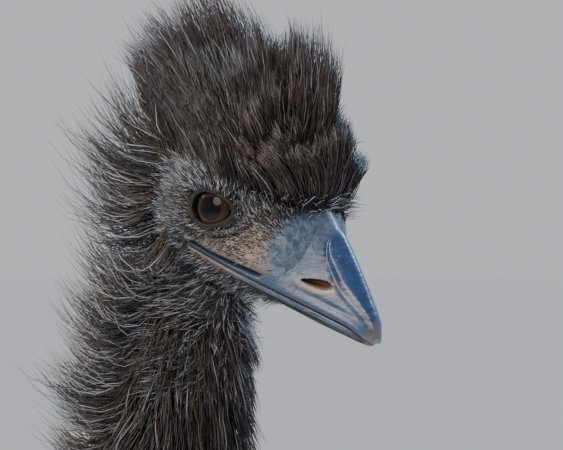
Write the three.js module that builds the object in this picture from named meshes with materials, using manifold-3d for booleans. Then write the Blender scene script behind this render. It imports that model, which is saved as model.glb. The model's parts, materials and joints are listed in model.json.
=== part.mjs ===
// A young emu, nearly full grown, standing still with its neck raised and its bill turned down.
// Millimetres. X runs forward, Y to the bird's left and Z up, and the feet stand on Z = 0.
import * as THREE from "three";
import { mergeVertices } from "three/addons/utils/BufferGeometryUtils.js";
import Module from "manifold-3d";

const wasm = await Module();
wasm.setup();

// Driving dimensions
const GAP = 0.35; // between pieces that meet
const EYE_FORWARD = 330; // of the eyes, ahead of the hips
const EYE_HEIGHT = 1395;
const HEAD_PITCH = THREE.MathUtils.degToRad(26); // of the mouth line below level
const EYEBALL = 12.6; // radius
const EYE_SIDE = 21.5; // eyeball centre from the midline
const MOUTH = -20.5; // the mouth line below the eyes
const GAPE = -8; // the corner of the mouth behind the eyes
const BILL_TIP = 80; // ahead of the eyes
const NECK_PARTINGS = [1000, 1160]; // heights where the neck divides
const HIP_SIDE = 86; // each foot from the midline
const HOCK_HEIGHT = 392;
const FOOT_BACK = -92; // centre of the foot behind the hips
const STRIDE = 16; // each foot ahead of or behind that centre

// Smooth curves through rows of [place, value, value...], which don't overshoot; gives the values at a place.
function profile(rows) {
  const secant = (i, k) => (rows[i + 1][k] - rows[i][k]) / (rows[i + 1][0] - rows[i][0]);
  const slope = (i, k) => {
    if (i === 0) return secant(0, k);
    if (i === rows.length - 1) return secant(i - 1, k);
    const [before, after] = [secant(i - 1, k), secant(i, k)];
    return before * after > 0 ? (2 * before * after) / (before + after) : 0;
  };
  const slopes = rows.map((row, i) => row.map((_, k) => (k ? slope(i, k) : 0)));
  return (place) => {
    const x = THREE.MathUtils.clamp(place, rows[0][0], rows.at(-1)[0]);
    const i = Math.min(rows.findLastIndex((row) => row[0] <= x), rows.length - 2);
    const step = rows[i + 1][0] - rows[i][0];
    const t = (x - rows[i][0]) / step;
    const [rise, fall] = [t * t * (3 - 2 * t), t * (1 - t)];
    return rows[i].slice(1).map((value, n) => {
      const k = n + 1;
      const ends = value + (rows[i + 1][k] - value) * rise;
      return ends + step * fall * ((1 - t) * slopes[i][k] - t * slopes[i + 1][k]);
    });
  };
}

// Evenly eased steps from 0 to 1, closer together at both ends.
function easedSteps(count) {
  return Array.from({ length: count }, (_, i) => (1 - Math.cos((Math.PI * i) / (count - 1))) / 2);
}

function evenSteps(count) {
  return Array.from({ length: count }, (_, i) => i / (count - 1));
}

const vector = (x, y, z) => new THREE.Vector3(x, y, z);
const UP = vector(0, 0, 1);
const FORWARD = vector(1, 0, 0);
const LEFT = vector(0, 1, 0);

// A closed skin over rings of points that match one for one, with a point in the middle of each end or at the tip.
function skinOver(rings, tip) {
  const sides = rings[0].length;
  const middle = (ring) => ring.reduce((sum, p) => sum.add(p), vector(0, 0, 0)).divideScalar(sides);
  const points = [middle(rings[0]), ...rings.flat(), tip ?? middle(rings.at(-1))];
  const at = (ring, side) => 1 + ring * sides + (side % sides);
  const faces = [];
  for (let side = 0; side < sides; side++) {
    faces.push(0, at(0, side + 1), at(0, side));
    for (let ring = 0; ring < rings.length - 1; ring++) {
      faces.push(at(ring, side), at(ring, side + 1), at(ring + 1, side + 1));
      faces.push(at(ring, side), at(ring + 1, side + 1), at(ring + 1, side));
    }
    faces.push(points.length - 1, at(rings.length - 1, side), at(rings.length - 1, side + 1));
  }
  return new THREE.BufferGeometry().setFromPoints(points).setIndex(faces);
}

// A ring of points: half the width each way along side, and its top and bottom along up.
function oval(centre, side, up, half, top, bottom, sides, power = 2) {
  return Array.from({ length: sides }, (_, i) => {
    const angle = (2 * Math.PI * i) / sides;
    const reach = (value) => Math.sign(value) * Math.abs(value) ** (2 / power);
    const [across, along] = [reach(Math.cos(angle)), reach(Math.sin(angle))];
    return centre
      .clone()
      .addScaledVector(side, half * across)
      .addScaledVector(up, along * (along > 0 ? top : bottom));
  });
}

// A tube along a curve, whose half width and half depth are given at each share of its length.
function tube(curve, halvesAt, sides, steps) {
  const rings = steps.map((t) => {
    const ahead = curve.getTangentAt(t);
    const up = ahead.clone().cross(LEFT).normalize();
    const [half, deep] = halvesAt(t);
    return oval(curve.getPointAt(t), LEFT, up, half, deep, deep, sides);
  });
  return skinOver(rings);
}

// Moves every point of a closed geometry out along its normal, to leave room for what meets it.
function swell(geometry, by) {
  geometry.computeVertexNormals();
  const { position, normal } = geometry.attributes;
  const [point, out] = [vector(0, 0, 0), vector(0, 0, 0)];
  for (let i = 0; i < position.count; i++) {
    point.fromBufferAttribute(position, i).addScaledVector(out.fromBufferAttribute(normal, i), by);
    position.setXYZ(i, point.x, point.y, point.z);
  }
}

// A solid from a closed geometry that may be inside out, swollen all over by a room of so many millimetres.
function solid(geometry, room = 0) {
  const bare = geometry.index ? geometry.toNonIndexed() : geometry.clone();
  bare.deleteAttribute("normal");
  bare.deleteAttribute("uv");
  const merged = mergeVertices(bare, 1e-4);
  const made = () => {
    const vertProperties = merged.attributes.position.array;
    const triVerts = new Uint32Array(merged.index.array);
    return new wasm.Manifold(new wasm.Mesh({ numProp: 3, vertProperties, triVerts }));
  };
  if (made().volume() < 0) merged.index.array.reverse();
  if (room) swell(merged, room);
  return made();
}

// The largest closed surface of a solid, without the scraps and sealed hollows that cutting leaves.
function largest(body) {
  return body.decompose().reduce((best, piece) => (piece.volume() > best.volume() ? piece : best));
}

function join(bodies) {
  return bodies.reduce((whole, body) => whole.add(body));
}

function geometryOf(body) {
  const { vertProperties, triVerts, numProp } = body.getMesh();
  const positions = new Float32Array((vertProperties.length / numProp) * 3);
  for (let i = 0; i < positions.length / 3; i++) {
    positions.set(vertProperties.subarray(i * numProp, i * numProp + 3), i * 3);
  }
  const geometry = new THREE.BufferGeometry();
  geometry.setAttribute("position", new THREE.BufferAttribute(positions, 3));
  geometry.setIndex(new THREE.BufferAttribute(new Uint32Array(triVerts), 1));
  geometry.computeVertexNormals();
  return geometry;
}

const SLIVER = 0.1; // the unions' slivers are cleaned away up to this size

const MATERIALS = {
  plumage: { color: 0x2b221d, roughness: 0.8 },
  horn: { color: 0x1c2c3d, roughness: 0.35 },
  eye: { color: 0x2a150b, roughness: 0.1 },
  bare_skin: { color: 0x4a4644, roughness: 0.7 },
  scales: { color: 0x3d3834, roughness: 0.6 },
  claw: { color: 0x17140f, roughness: 0.4 },
};

function piece(name, finish, body) {
  const material = new THREE.MeshStandardMaterial({ metalness: 0, flatShading: true, ...MATERIALS[finish] });
  const kept = largest(solid(geometryOf(largest(body).simplify(SLIVER))));
  const mesh = new THREE.Mesh(geometryOf(kept), material);
  mesh.name = name;
  return mesh;
}

// Seeded draws between -1 and 1, so that every build combs the same plumage.
function drawsFrom(seed) {
  let state = seed;
  return () => {
    state = (state + 0x6d2b79f5) | 0;
    let mixed = Math.imul(state ^ (state >>> 15), state | 1);
    mixed ^= mixed + Math.imul(mixed ^ (mixed >>> 7), mixed | 61);
    return ((mixed ^ (mixed >>> 14)) >>> 0) / 2147483648 - 1;
  };
}

// Level of a body of sections along X: a function of how far a point lies outside it.
function levelOfSections(sizesAt, rear, front) {
  return (p) => {
    const x = THREE.MathUtils.clamp(p.x, rear, front);
    const [top, bottom, half] = sizesAt(x);
    const up = p.z - (top + bottom) / 2;
    const share = Math.hypot(p.y / half, (2 * up) / (top - bottom));
    return Math.hypot(p.y, up) * (1 - 1 / Math.max(share, 0.02)) + Math.abs(p.x - x);
  };
}

// Level of a tube along a curve.
function levelOfTube(curve, halvesAt) {
  const stops = evenSteps(17).map((t) => {
    const [half, deep] = halvesAt(t);
    return { point: curve.getPointAt(t), radius: (half + deep) / 2 };
  });
  const lengths = stops.slice(1).map((stop, i) => [new THREE.Line3(stops[i].point, stop.point), stops[i], stop]);
  const nearest = vector(0, 0, 0);
  const outside = (p, [line, from, to]) => {
    const share = line.closestPointToPointParameter(p, true);
    return p.distanceTo(line.at(share, nearest)) - THREE.MathUtils.lerp(from.radius, to.radius, share);
  };
  return (p) => Math.min(...lengths.map((length) => outside(p, length)));
}

// The way straight out of a body at a point, and how far out the point is.
function wayOut(level, p) {
  const rise = (axis) => level(p.clone().addScaledVector(axis, 0.5)) - level(p.clone().addScaledVector(axis, -0.5));
  const out = vector(rise(FORWARD), rise(LEFT), rise(UP));
  const steepness = out.length();
  return { out: out.normalize(), away: level(p) / steepness };
}

// Share of a lock's full width and thickness along it.
const lockShape = profile([[0, 0.6, 1], [0.3, 1, 1], [0.6, 0.86, 0.8], [0.85, 0.45, 0.5]]);

// A flat, tapered lock through stops that each have a point and the way out of its face.
function blade(stops, half, thick, room, drape = (p) => p) {
  const last = stops.length - 1;
  const rings = stops.slice(0, last).map(({ point: stop, out }, i) => {
    const [width, depth] = lockShape(i / last);
    const ahead = stops[i + 1].point.clone().sub(stops[Math.max(i - 1, 0)].point).normalize();
    const point = stop.clone().addScaledVector(ahead, i ? 0 : -4 * room);
    const across = ahead.clone().cross(out).normalize();
    const face = across.clone().cross(ahead);
    const edge = (side) => {
      const place = drape(point.clone().addScaledVector(across, side * half * width), i);
      return place.addScaledVector(place.clone().sub(point).normalize(), 4 * room);
    };
    const crown = (side) => point.clone().addScaledVector(face, side * (thick * depth + 2 * room));
    return [edge(1), crown(1), edge(-1), crown(-1)];
  });
  const end = stops[last].point.clone().sub(stops[last - 1].point).normalize();
  return solid(skinOver(rings, stops[last].point.clone().addScaledVector(end, 4 * room)));
}

const ROOT_DEPTH = 7; // of each lock inside what it grows from

// A lock combed along its heading, which stays over what lies under it and rises to its lift at the tip.
function combed({ root, heading, length, half, thick, lift, droop, level, steps = 4, cling = 0.6 }, room = 0) {
  const height = (share) => -ROOT_DEPTH + (lift + ROOT_DEPTH) * share ** 0.8;
  const start = wayOut(level, root);
  const point = root.clone().addScaledVector(start.out, -ROOT_DEPTH - start.away);
  const ahead = heading.clone().projectOnPlane(start.out).normalize();
  const stops = [{ point: point.clone(), out: start.out }];
  for (let i = 1; i <= steps; i++) {
    ahead.addScaledVector(UP, -droop / steps).normalize();
    point.addScaledVector(ahead, length / steps);
    const { out, away } = wayOut(level, point);
    const short = height(i / steps) - away;
    point.addScaledVector(out, short > 0 ? short : short * cling);
    ahead.projectOnPlane(out).normalize();
    stops.push({ point: point.clone(), out });
  }
  const drape = (edge, i) => {
    const { out, away } = wayOut(level, edge);
    const short = height(i / steps) - thick / 2 - away;
    return edge.addScaledVector(out, short > 0 ? short : short * cling);
  };
  return blade(stops, half, thick, room, drape);
}

// Torso: rows of place along X, top, bottom and half width.
const torsoAt = profile([
  [-395, 862, 812, 22],
  [-372, 893, 756, 62],
  [-300, 936, 694, 120],
  [-180, 968, 650, 166],
  [-40, 976, 634, 182],
  [90, 955, 652, 168],
  [180, 920, 702, 126],
  [240, 878, 762, 68],
  [256, 846, 800, 22],
]);
const TORSO_REAR = -395;
const TORSO_FRONT = 256;

const torsoLevel = levelOfSections(torsoAt, TORSO_REAR, TORSO_FRONT);

function torsoCore(room = 0) {
  const rings = easedSteps(14).map((t) => {
    const x = THREE.MathUtils.lerp(TORSO_REAR, TORSO_FRONT, t);
    const [top, bottom, half] = torsoAt(x);
    const deep = (top - bottom) / 2;
    return oval(vector(x, 0, (top + bottom) / 2), LEFT, UP, half, deep, deep, 18);
  });
  return solid(skinOver(rings), room);
}

// Neck: its middle line from inside the torso up into the head, and its half width and depth along it.
const neckLine = new THREE.CatmullRomCurve3([
  vector(130, 0, 812),
  vector(205, 0, 892),
  vector(258, 0, 980),
  vector(279, 0, 1075),
  vector(281, 0, 1165),
  vector(283, 0, 1250),
  vector(289, 0, 1318),
  vector(301, 0, 1376),
]);
const neckAt = profile([
  [0, 88, 92],
  [0.16, 68, 72],
  [0.32, 46, 50],
  [0.5, 33, 36],
  [0.68, 27, 29],
  [0.85, 24, 26],
  [0.94, 22.5, 24],
  [1, 19, 20],
]);

const neckLevel = levelOfTube(neckLine, neckAt);

function neckCore(room = 0) {
  return solid(tube(neckLine, neckAt, 12, evenSteps(18)), room);
}

// Head, in its own frame: X along the mouth line, Z up from the middle between the eyes.
const headAt = profile([
  [-50, 3, -8, 6],
  [-45, 12.5, -19, 17],
  [-34, 21.5, -29, 27],
  [-18, 27, -33, 33],
  [-2, 27.5, -33, 35],
  [12, 24.5, -31.5, 32],
  [24, 19, -29.5, 26],
  [34, 13, -28, 20],
  [40, 6, -26.5, 13],
]);
const HEAD_REAR = -50;
const HEAD_FRONT = 40;

const headLevel = levelOfSections(headAt, HEAD_REAR, HEAD_FRONT);

function headCore(room = 0) {
  const rings = easedSteps(13).map((t) => {
    const x = THREE.MathUtils.lerp(HEAD_REAR, HEAD_FRONT, t);
    const [top, bottom, half] = headAt(x);
    const deep = (top - bottom) / 2;
    return oval(vector(x, 0, (top + bottom) / 2), LEFT, UP, half, deep, deep, 16);
  });
  return solid(skinOver(rings), room);
}

// A ring across a bill half: a flat floor at the mouth line, a short upright wall and an arch over it.
// A negative height turns it over.
function archRing(x, floor, half, height, power) {
  const wall = Math.sign(height) * BILL_WALL;
  const arch = Array.from({ length: BILL_SIDES + 1 }, (_, i) => {
    const angle = (Math.PI * i) / BILL_SIDES;
    const across = Math.sign(Math.cos(angle)) * Math.abs(Math.cos(angle)) ** (2 / power);
    return vector(x, half * across, floor + wall + (height - wall) * Math.sin(angle) ** (2 / power));
  });
  return [...arch, vector(x, -half, floor), vector(x, half, floor)];
}

const BILL_SIDES = 10;
const BILL_WALL = 1.1; // height of the sharp cutting edge

// How far the bill's tip hooks down past the mouth line.
const hook = (x) => (x > 66 ? -3 * ((x - 66) / (BILL_TIP - 66)) ** 2 : 0);

// Upper bill: rows of place, ridge height and half width at the mouth line. Behind the face it runs back
// to the gape as a narrow band.
const upperBillAt = profile([
  [GAPE, -18.2, 27.6],
  [12, -16.4, 25.2],
  [27, -14.6, 21.4],
  [30.5, 15.2, 20.2],
  [42, 9.6, 16.6],
  [56, 0.6, 12.2],
  [68, -8.4, 8.8],
  [76, -15.2, 6],
  [BILL_TIP - 0.8, -19.6, 3],
]);
const BAND_STEPS = [GAPE, 4, 18, 27, 28.8, 30.5];
const BILL_STEPS = [36, 42, 49, 56, 62, 68, 73, 77, BILL_TIP - 0.8];

function upperBill(room = 0) {
  const rings = [...BAND_STEPS, ...BILL_STEPS].map((x) => {
    const [ridge, half] = upperBillAt(x);
    const floor = MOUTH + hook(x);
    return archRing(x, floor, half, ridge - floor, 1.7);
  });
  return solid(skinOver(rings), room);
}

const lowerBillAt = profile([
  [GAPE, -23, 26.6],
  [12, -25, 24.2],
  [30, -27.4, 19.2],
  [50, -27.4, 13],
  [66, -26.4, 8.4],
  [75, -25.6, 5],
  [77.4, -25.2, 2.6],
]);
const LOWER_BILL_TIP = 77.4;
const MOUTH_GAP = 0.5;

function lowerBill(room = 0) {
  const rings = evenSteps(11).map((t) => {
    const x = THREE.MathUtils.lerp(GAPE, LOWER_BILL_TIP, t);
    const [keel, half] = lowerBillAt(x);
    const lip = MOUTH - MOUTH_GAP + hook(x);
    return archRing(x, lip, half, keel - lip, 2.2);
  });
  return solid(skinOver(rings), room);
}

const NOSTRIL = vector(50, 11.5, -10);

function nostril(side) {
  const hole = new THREE.SphereGeometry(1, 10, 6);
  hole.scale(7.4, 4.2, 2.4);
  hole.rotateY(0.16);
  hole.translate(NOSTRIL.x, side * NOSTRIL.y, NOSTRIL.z);
  return solid(hole);
}

function ball(radius, side) {
  const made = new THREE.SphereGeometry(radius, 14, 9);
  made.translate(0, side * EYE_SIDE, 0);
  return solid(made);
}

// Lids: a thin shell round the eyeball, cut to an almond opening.
const LID_RADIUS = EYEBALL + 2.3;
const EYE_OPENING = [9, 7.2]; // half its length and half its height

function eyeOpening(side) {
  const opening = new THREE.CylinderGeometry(1, 1, 40, 16);
  opening.scale(EYE_OPENING[0], 1, EYE_OPENING[1]);
  opening.translate(0.6, side * (EYE_SIDE + 20), -0.6);
  return solid(opening);
}

// Ear: a short oval cup set in the side of the head below and behind the eye.
const EAR = vector(-27, 22, -17);
const EAR_DEPTH = 9;

function earCup(side, half, tall, out = 0, room = 0) {
  const cup = new THREE.CylinderGeometry(1, 1, EAR_DEPTH, 10);
  cup.scale(half, 1, tall);
  cup.translate(EAR.x, side * (EAR.y + out), EAR.z);
  return solid(cup, room);
}

function ear(side) {
  return earCup(side, 4.2, 5.6).subtract(earCup(side, 2.8, 4, 4));
}

// Crest: a core over the crown that locks fan out of, up in front and back behind, each from a root in the core
// to a tip on a larger oval round it.
const CREST = { middle: vector(-16, 0, 14), halves: vector(40, 36, 29) };
const CREST_TIPS = { middle: vector(-22, 0, 18), halves: vector(59, 49, 63) };
const CREST_LEAN = 0.4; // of the fan's axis, back from upright
const CREST_ROWS = [[0, 1], [25, 6], [47, 10], [69, 12], [91, 14], [112, 12]]; // degrees off the axis, number

function crestCore(room = 0) {
  const dome = new THREE.SphereGeometry(1, 14, 9);
  dome.scale(...CREST.halves);
  dome.translate(...CREST.middle);
  return solid(dome, room);
}

function crestLock(polar, turn, draw, room) {
  const radial = new THREE.Vector3().setFromSphericalCoords(1, polar, turn).applyAxisAngle(FORWARD, Math.PI / 2);
  radial.applyAxisAngle(LEFT, -CREST_LEAN);
  if (radial.z < (radial.x > 0.1 ? 0.3 : -0.25)) return [];
  const swept = radial.clone().add(vector(-0.3, 0, 0.12)).add(vector(draw(), draw(), draw()).multiplyScalar(0.09)).normalize();
  const root = radial.clone().multiply(CREST.halves).multiplyScalar(0.78).add(CREST.middle);
  const tip = swept.clone().multiply(CREST_TIPS.halves).multiplyScalar(0.95 + 0.09 * draw()).add(CREST_TIPS.middle);
  const reach = tip.clone().sub(root);
  const bulge = vector(0.8, 0, 0.5).projectOnPlane(reach.clone().normalize()).multiplyScalar(0.2);
  const stops = evenSteps(4).map((share) => ({
    point: root.clone().addScaledVector(reach, share).addScaledVector(bulge, 4 * share * (1 - share) * reach.length()),
    out: radial.clone().add(vector(-1.2, 0, 0.3)).normalize(),
  }));
  return [blade(stops, 6.6, 1.9, room)];
}

function crest(room = 0) {
  const draw = drawsFrom(11);
  return CREST_ROWS.flatMap(([polar, count], row) =>
    Array.from({ length: count }, (_, i) => {
      const turn = (2 * Math.PI * (i + (row % 2) / 2)) / count;
      return crestLock(THREE.MathUtils.degToRad(polar + 4 * draw()), turn + 0.08 * draw(), draw, room);
    }).flat(),
  );
}

// Nape: locks from the back of the head down over the top of the neck.
const NAPE_TURNS = [-118, -76, -38, 0, 38, 76, 118]; // degrees round the head from its crown

function nape(room = 0) {
  const draw = drawsFrom(5);
  const below = (p) => neckLevel(p.clone().applyMatrix4(head.matrix));
  const level = (p) => Math.min(headLevel(p), below(p) - 9);
  return NAPE_TURNS.map((degrees) => {
    const angle = THREE.MathUtils.degToRad(degrees + 4 * draw());
    const x = -36 - 3 * draw();
    const [top, bottom, half] = headAt(x);
    const root = vector(x, half * Math.sin(angle), (top + bottom) / 2 + ((top - bottom) / 2) * Math.cos(angle));
    const heading = vector(-0.1, 0.1 * draw(), -1);
    const length = 54 + 6 * draw();
    return combed({ root, heading, length, half: 11, thick: 2, lift: 9, droop: 0.3, level, steps: 3 }, room);
  });
}

const plumedHead = (room = 0) => join([headCore(room), crestCore(room), ...crest(room), ...nape(room)]);

function headBody() {
  const sockets = [1, -1].map((side) => ball(EYEBALL + GAP, side).add(eyeOpening(side)));
  const ears = [1, -1].map((side) => earCup(side, 4.2, 5.6, 0, GAP));
  return [...sockets, ...ears, upperBill(GAP), lowerBill(GAP)].reduce(
    (whole, cut) => whole.subtract(cut),
    join([plumedHead(), ball(LID_RADIUS, 1), ball(LID_RADIUS, -1)]),
  );
}

const head = new THREE.Group();
head.position.set(EYE_FORWARD, 0, EYE_HEIGHT);
head.rotation.y = HEAD_PITCH;
head.updateMatrix();

const inBodyFrame = (body) => solid(geometryOf(body).applyMatrix4(head.matrix));

head.add(piece("head", "plumage", headBody()));
const nostrils = [1, -1].map(nostril);
head.add(piece("bill_upper", "horn", nostrils.reduce((bill, hole) => bill.subtract(hole), upperBill())));
head.add(piece("bill_lower", "horn", lowerBill()));
for (const [name, side] of [["left", 1], ["right", -1]]) {
  head.add(piece("eye_" + name, "eye", ball(EYEBALL, side)));
  head.add(piece("ear_" + name, "bare_skin", ear(side)));
}

// Neck in two lengths, parted by a thin level cut.
function slab(low, high) {
  const block = new THREE.BoxGeometry(700, 700, high - low);
  block.translate(EYE_FORWARD, 0, (low + high) / 2);
  return solid(block);
}

// Rows of locks down the neck: place along it, number round it, length, half width and lift of the tips.
const NECK_ROWS = {
  upper: [[0.96, 5, 72, 15, 9], [0.87, 5, 84, 15, 9], [0.78, 5, 88, 16, 9], [0.69, 5, 84, 17, 10]],
  middle: [[0.61, 5, 100, 19, 11], [0.51, 5, 112, 22, 12]],
  base: [[0.41, 6, 126, 24, 14], [0.3, 7, 140, 30, 17]],
};
const NAPE_LIFT = { upper: 14, middle: 8, base: 0 }; // more for the locks down the back of the neck

function neckLocks(which, room = 0) {
  const draw = drawsFrom(NECK_ROWS[which].length + 23);
  return NECK_ROWS[which].flatMap(([place, count, length, half, lift], row) =>
    Array.from({ length: count }, (_, i) => {
      const turn = (2 * Math.PI * (i + 0.5 + (row % 2) / 2)) / count + 0.12 * draw();
      const t = place + 0.008 * draw();
      const heading = neckLine.getTangentAt(t).negate();
      const [half0, deep] = neckAt(t);
      const back = heading.clone().cross(LEFT);
      const root = neckLine.getPointAt(t);
      root.addScaledVector(LEFT, half0 * Math.sin(turn)).addScaledVector(back, -deep * Math.cos(turn));
      const behind = Math.max(0, -root.clone().sub(neckLine.getPointAt(t)).normalize().x);
      heading.add(vector(draw(), draw(), 0).multiplyScalar(0.1));
      const rise = lift + NAPE_LIFT[which] * behind ** 2 * (0.8 + 0.4 * draw());
      const level = (p) => Math.min(neckLevel(p), torsoLevel(p) - 6);
      if (torsoLevel(root) < 5) return [];
      const full = length * (1 + 0.1 * draw());
      const shape = { root, heading, length: full, half, thick: 2.2, lift: rise + 2 * draw(), droop: 0.1 };
      return [combed({ ...shape, level, steps: 3 }, room)];
    }).flat(),
  );
}

const NECK_LENGTHS = {
  upper: [NECK_PARTINGS[1], 2000],
  middle: NECK_PARTINGS,
  base: [0, NECK_PARTINGS[0]],
};

function neckLength(which, room = 0) {
  const [low, high] = NECK_LENGTHS[which];
  const core = neckCore(room).subtract(torsoCore(GAP - room)).intersect(slab(low + GAP / 2 - room, high - GAP / 2 + room));
  return join([core, ...neckLocks(which, room)]);
}

// Wing: short and slim, folded against the flank, with one small claw at its tip.
const wingLine = (side) =>
  new THREE.CatmullRomCurve3([
    vector(196, side * 106, 838),
    vector(120, side * 157, 800),
    vector(30, side * 177, 768),
    vector(-30, side * 178, 744),
  ]);
const wingAt = profile([[0, 9, 15], [0.4, 8, 16], [0.8, 7, 12], [1, 4, 5]]);

function wing(side, room = 0) {
  return solid(tube(wingLine(side), wingAt, 8, easedSteps(8)), room);
}

// Tail: the short rump that the hanging plumes grow from.
const tailLine = new THREE.CatmullRomCurve3([vector(-350, 0, 850), vector(-398, 0, 806), vector(-418, 0, 730)]);
const tailAt = profile([[0, 72, 48], [0.4, 66, 36], [0.8, 44, 22], [1, 14, 10]]);
const tailLevel = levelOfTube(tailLine, tailAt);

// Thigh and drumstick: from the knee, which the plumage hides, down to the hock.
const HOCK = { back: -46, side: -8 }; // from the foot's centre
const KNEE = { x: -8, side: 92, z: 735 };
const footPlace = (side) => vector(FOOT_BACK - side * STRIDE, side * HIP_SIDE, 0);
const hockPlace = (side) => footPlace(side).add(vector(HOCK.back, side * HOCK.side, HOCK_HEIGHT));

function thighLine(side) {
  const knee = vector(KNEE.x, side * KNEE.side, KNEE.z);
  const hock = hockPlace(side);
  const start = hock.clone().add(vector(2, 0, -6));
  return new THREE.CatmullRomCurve3([start, hock.clone().lerp(knee, 0.3), hock.clone().lerp(knee, 0.65), knee]);
}
const thighAt = profile([[0, 16, 18], [0.2, 21, 26], [0.45, 36, 50], [0.75, 58, 86], [1, 70, 100]]);
const thighLevels = [1, -1].map((side) => levelOfTube(thighLine(side), thighAt));

function tailCore(room = 0) {
  return solid(tube(tailLine, tailAt, 12, evenSteps(7)), room);
}

function tailLocks(room = 0) {
  const draw = drawsFrom(53);
  const rows = [[0.4, [-1, -0.35, 0.35, 1], 190, 32], [0.7, [0], 180, 34]];
  return rows.flatMap(([place, spread, length, half]) =>
    spread.map((aside) => {
      const [wide, deep] = tailAt(place);
      const back = tailLine.getTangentAt(place).cross(LEFT).negate();
      const root = tailLine.getPointAt(place);
      root.addScaledVector(LEFT, wide * Math.sin(aside * 1.35)).addScaledVector(back, -deep * Math.cos(aside * 1.35));
      const heading = vector(-0.55, 0.35 * aside + 0.1 * draw(), -0.8);
      const level = (p) => Math.min(tailLevel(p), torsoLevel(p));
      const full = length * (1 + 0.08 * draw());
      return combed({ root, heading, length: full, half, thick: 2.6, lift: 9, droop: 0.9, level, cling: 0.3 }, room);
    }),
  );
}

const LEGS = { left: 1, right: -1 };

// Rows of plumes over the torso: degrees down from the spine, number along it, length, half width, lift.
const TORSO_ROWS = [[10, 5, 250, 44, 17], [42, 5, 250, 48, 19], [76, 5, 240, 48, 21], [112, 5, 170, 46, 19]];
const TORSO_SPAN = { front: 205, rear: -345 };
const BREAST_TURNS = [72, 112, 152]; // degrees down from the spine, for one row round the breast
const BREAST = 226;

function torsoLocks(room = 0) {
  const draw = drawsFrom(59);
  const wingLevels = [1, -1].map((side) => levelOfTube(wingLine(side), wingAt));
  const under = [...wingLevels.map((over) => [over, 9]), ...thighLevels.map((over) => [over, 13]), [tailLevel, 14]];
  const level = (p) => Math.min(torsoLevel(p), ...under.map(([over, depth]) => over(p) - depth));
  const place = (x, degrees, side) => {
    const [top, bottom, wide] = torsoAt(x);
    const angle = THREE.MathUtils.degToRad(degrees);
    const deep = (top - bottom) / 2;
    return vector(x, side * wide * Math.sin(angle), (top + bottom) / 2 + deep * Math.cos(angle));
  };
  const back = (side) =>
    TORSO_ROWS.flatMap(([degrees, count, length, half, lift], row) =>
      evenSteps(count).flatMap((share) => {
        const shift = ((row % 2) - 0.5) * (0.5 / count);
        const x = THREE.MathUtils.lerp(TORSO_SPAN.front, TORSO_SPAN.rear, share + shift + 0.02 * draw());
        const root = place(x, degrees + 3 * draw(), side);
        if (Math.min(...wingLevels.map((over) => over(root))) < 8 || neckLevel(root) < 12) return [];
        const heading = vector(-0.75, side * 0.45 + 0.08 * draw(), -0.62 + 0.08 * draw());
        const full = length * (1 + 0.08 * draw()) * (x > 120 ? 0.8 : 1);
        const loose = THREE.MathUtils.smoothstep(-x, 150, 320);
        const fall = { droop: 0.35 + 0.6 * loose, cling: 0.6 - 0.45 * loose };
        return [combed({ root, heading, length: full, half, thick: 3, lift, level, ...fall }, room)];
      }),
    );
  const breast = (side) =>
    BREAST_TURNS.map((degrees) => {
      const root = place(BREAST + 4 * draw(), degrees + 4 * draw(), side);
      const heading = vector(-0.6, side * 0.3, -0.8);
      const length = 150 + 12 * draw();
      return combed({ root, heading, length, half: 36, thick: 3, lift: 16, droop: 0.2, level, steps: 3 }, room);
    });
  return [1, -1].flatMap((side) => [...back(side), ...breast(side)]);
}

// A body cut clear of neighbours, each given as the function that makes it with room round it.
const clearOf = (body, ...neighbours) =>
  neighbours.reduce((whole, make) => whole.subtract(make(GAP)).subtract(make(0)), body);

const headPlace = (room) => inBodyFrame(plumedHead(room));
const [upperPlace, middlePlace, basePlace] = Object.keys(NECK_ROWS).map((which) => (room) => neckLength(which, room));
const torsoPlace = (room) => join([torsoCore(room), ...torsoLocks(room)]);
const [leftWing, rightWing] = [1, -1].map((side) => (room) => wing(side, room));
const neckUpper = clearOf(upperPlace(0), headPlace);
const neckMiddle = clearOf(middlePlace(0), upperPlace);
const neckBase = clearOf(basePlace(0), middlePlace, upperPlace);
const wings = [leftWing, rightWing].map((make) => clearOf(make(0), torsoCore, basePlace));
const torso = clearOf(torsoPlace(0), basePlace, middlePlace, leftWing, rightWing);
const tail = clearOf(join([tailCore(), ...tailLocks()]), torsoPlace);

const emu = new THREE.Group();
emu.add(head);
emu.add(piece("neck_upper", "plumage", neckUpper));
emu.add(piece("neck_middle", "plumage", neckMiddle));
emu.add(piece("neck_base", "plumage", neckBase));
emu.add(piece("torso", "plumage", torso));
emu.add(piece("wing_left", "plumage", wings[0]));
emu.add(piece("wing_right", "plumage", wings[1]));
emu.add(piece("tail", "plumage", tail));

// Leg
const TOES = {
  inner: { turn: -28, length: 82, half: 12, tall: 17, scutes: 5, claw: 21 },
  middle: { turn: 2, length: 124, half: 15.5, tall: 21, scutes: 7, claw: 28 },
  outer: { turn: 33, length: 84, half: 12, tall: 17, scutes: 5, claw: 21 },
};

// Scutes: pairs of rings along a limb whose points on its upper or front side stand proud, less along each scute.
function scuted(count, ringAt, facing, proud) {
  const rings = evenSteps(count).slice(0, -1).flatMap((start) =>
    [0.04, 0.96].map((share) => {
      const ring = ringAt(start + share / (count - 1));
      const middle = ring.reduce((sum, p) => sum.add(p), vector(0, 0, 0)).divideScalar(ring.length);
      return ring.map((p) => {
        const spoke = p.clone().sub(middle);
        const faces = THREE.MathUtils.smoothstep(spoke.clone().normalize().dot(facing), 0.1, 0.6);
        return p.addScaledVector(spoke.normalize(), proud * (1 - share) * faces);
      });
    }),
  );
  return skinOver(rings);
}

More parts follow.
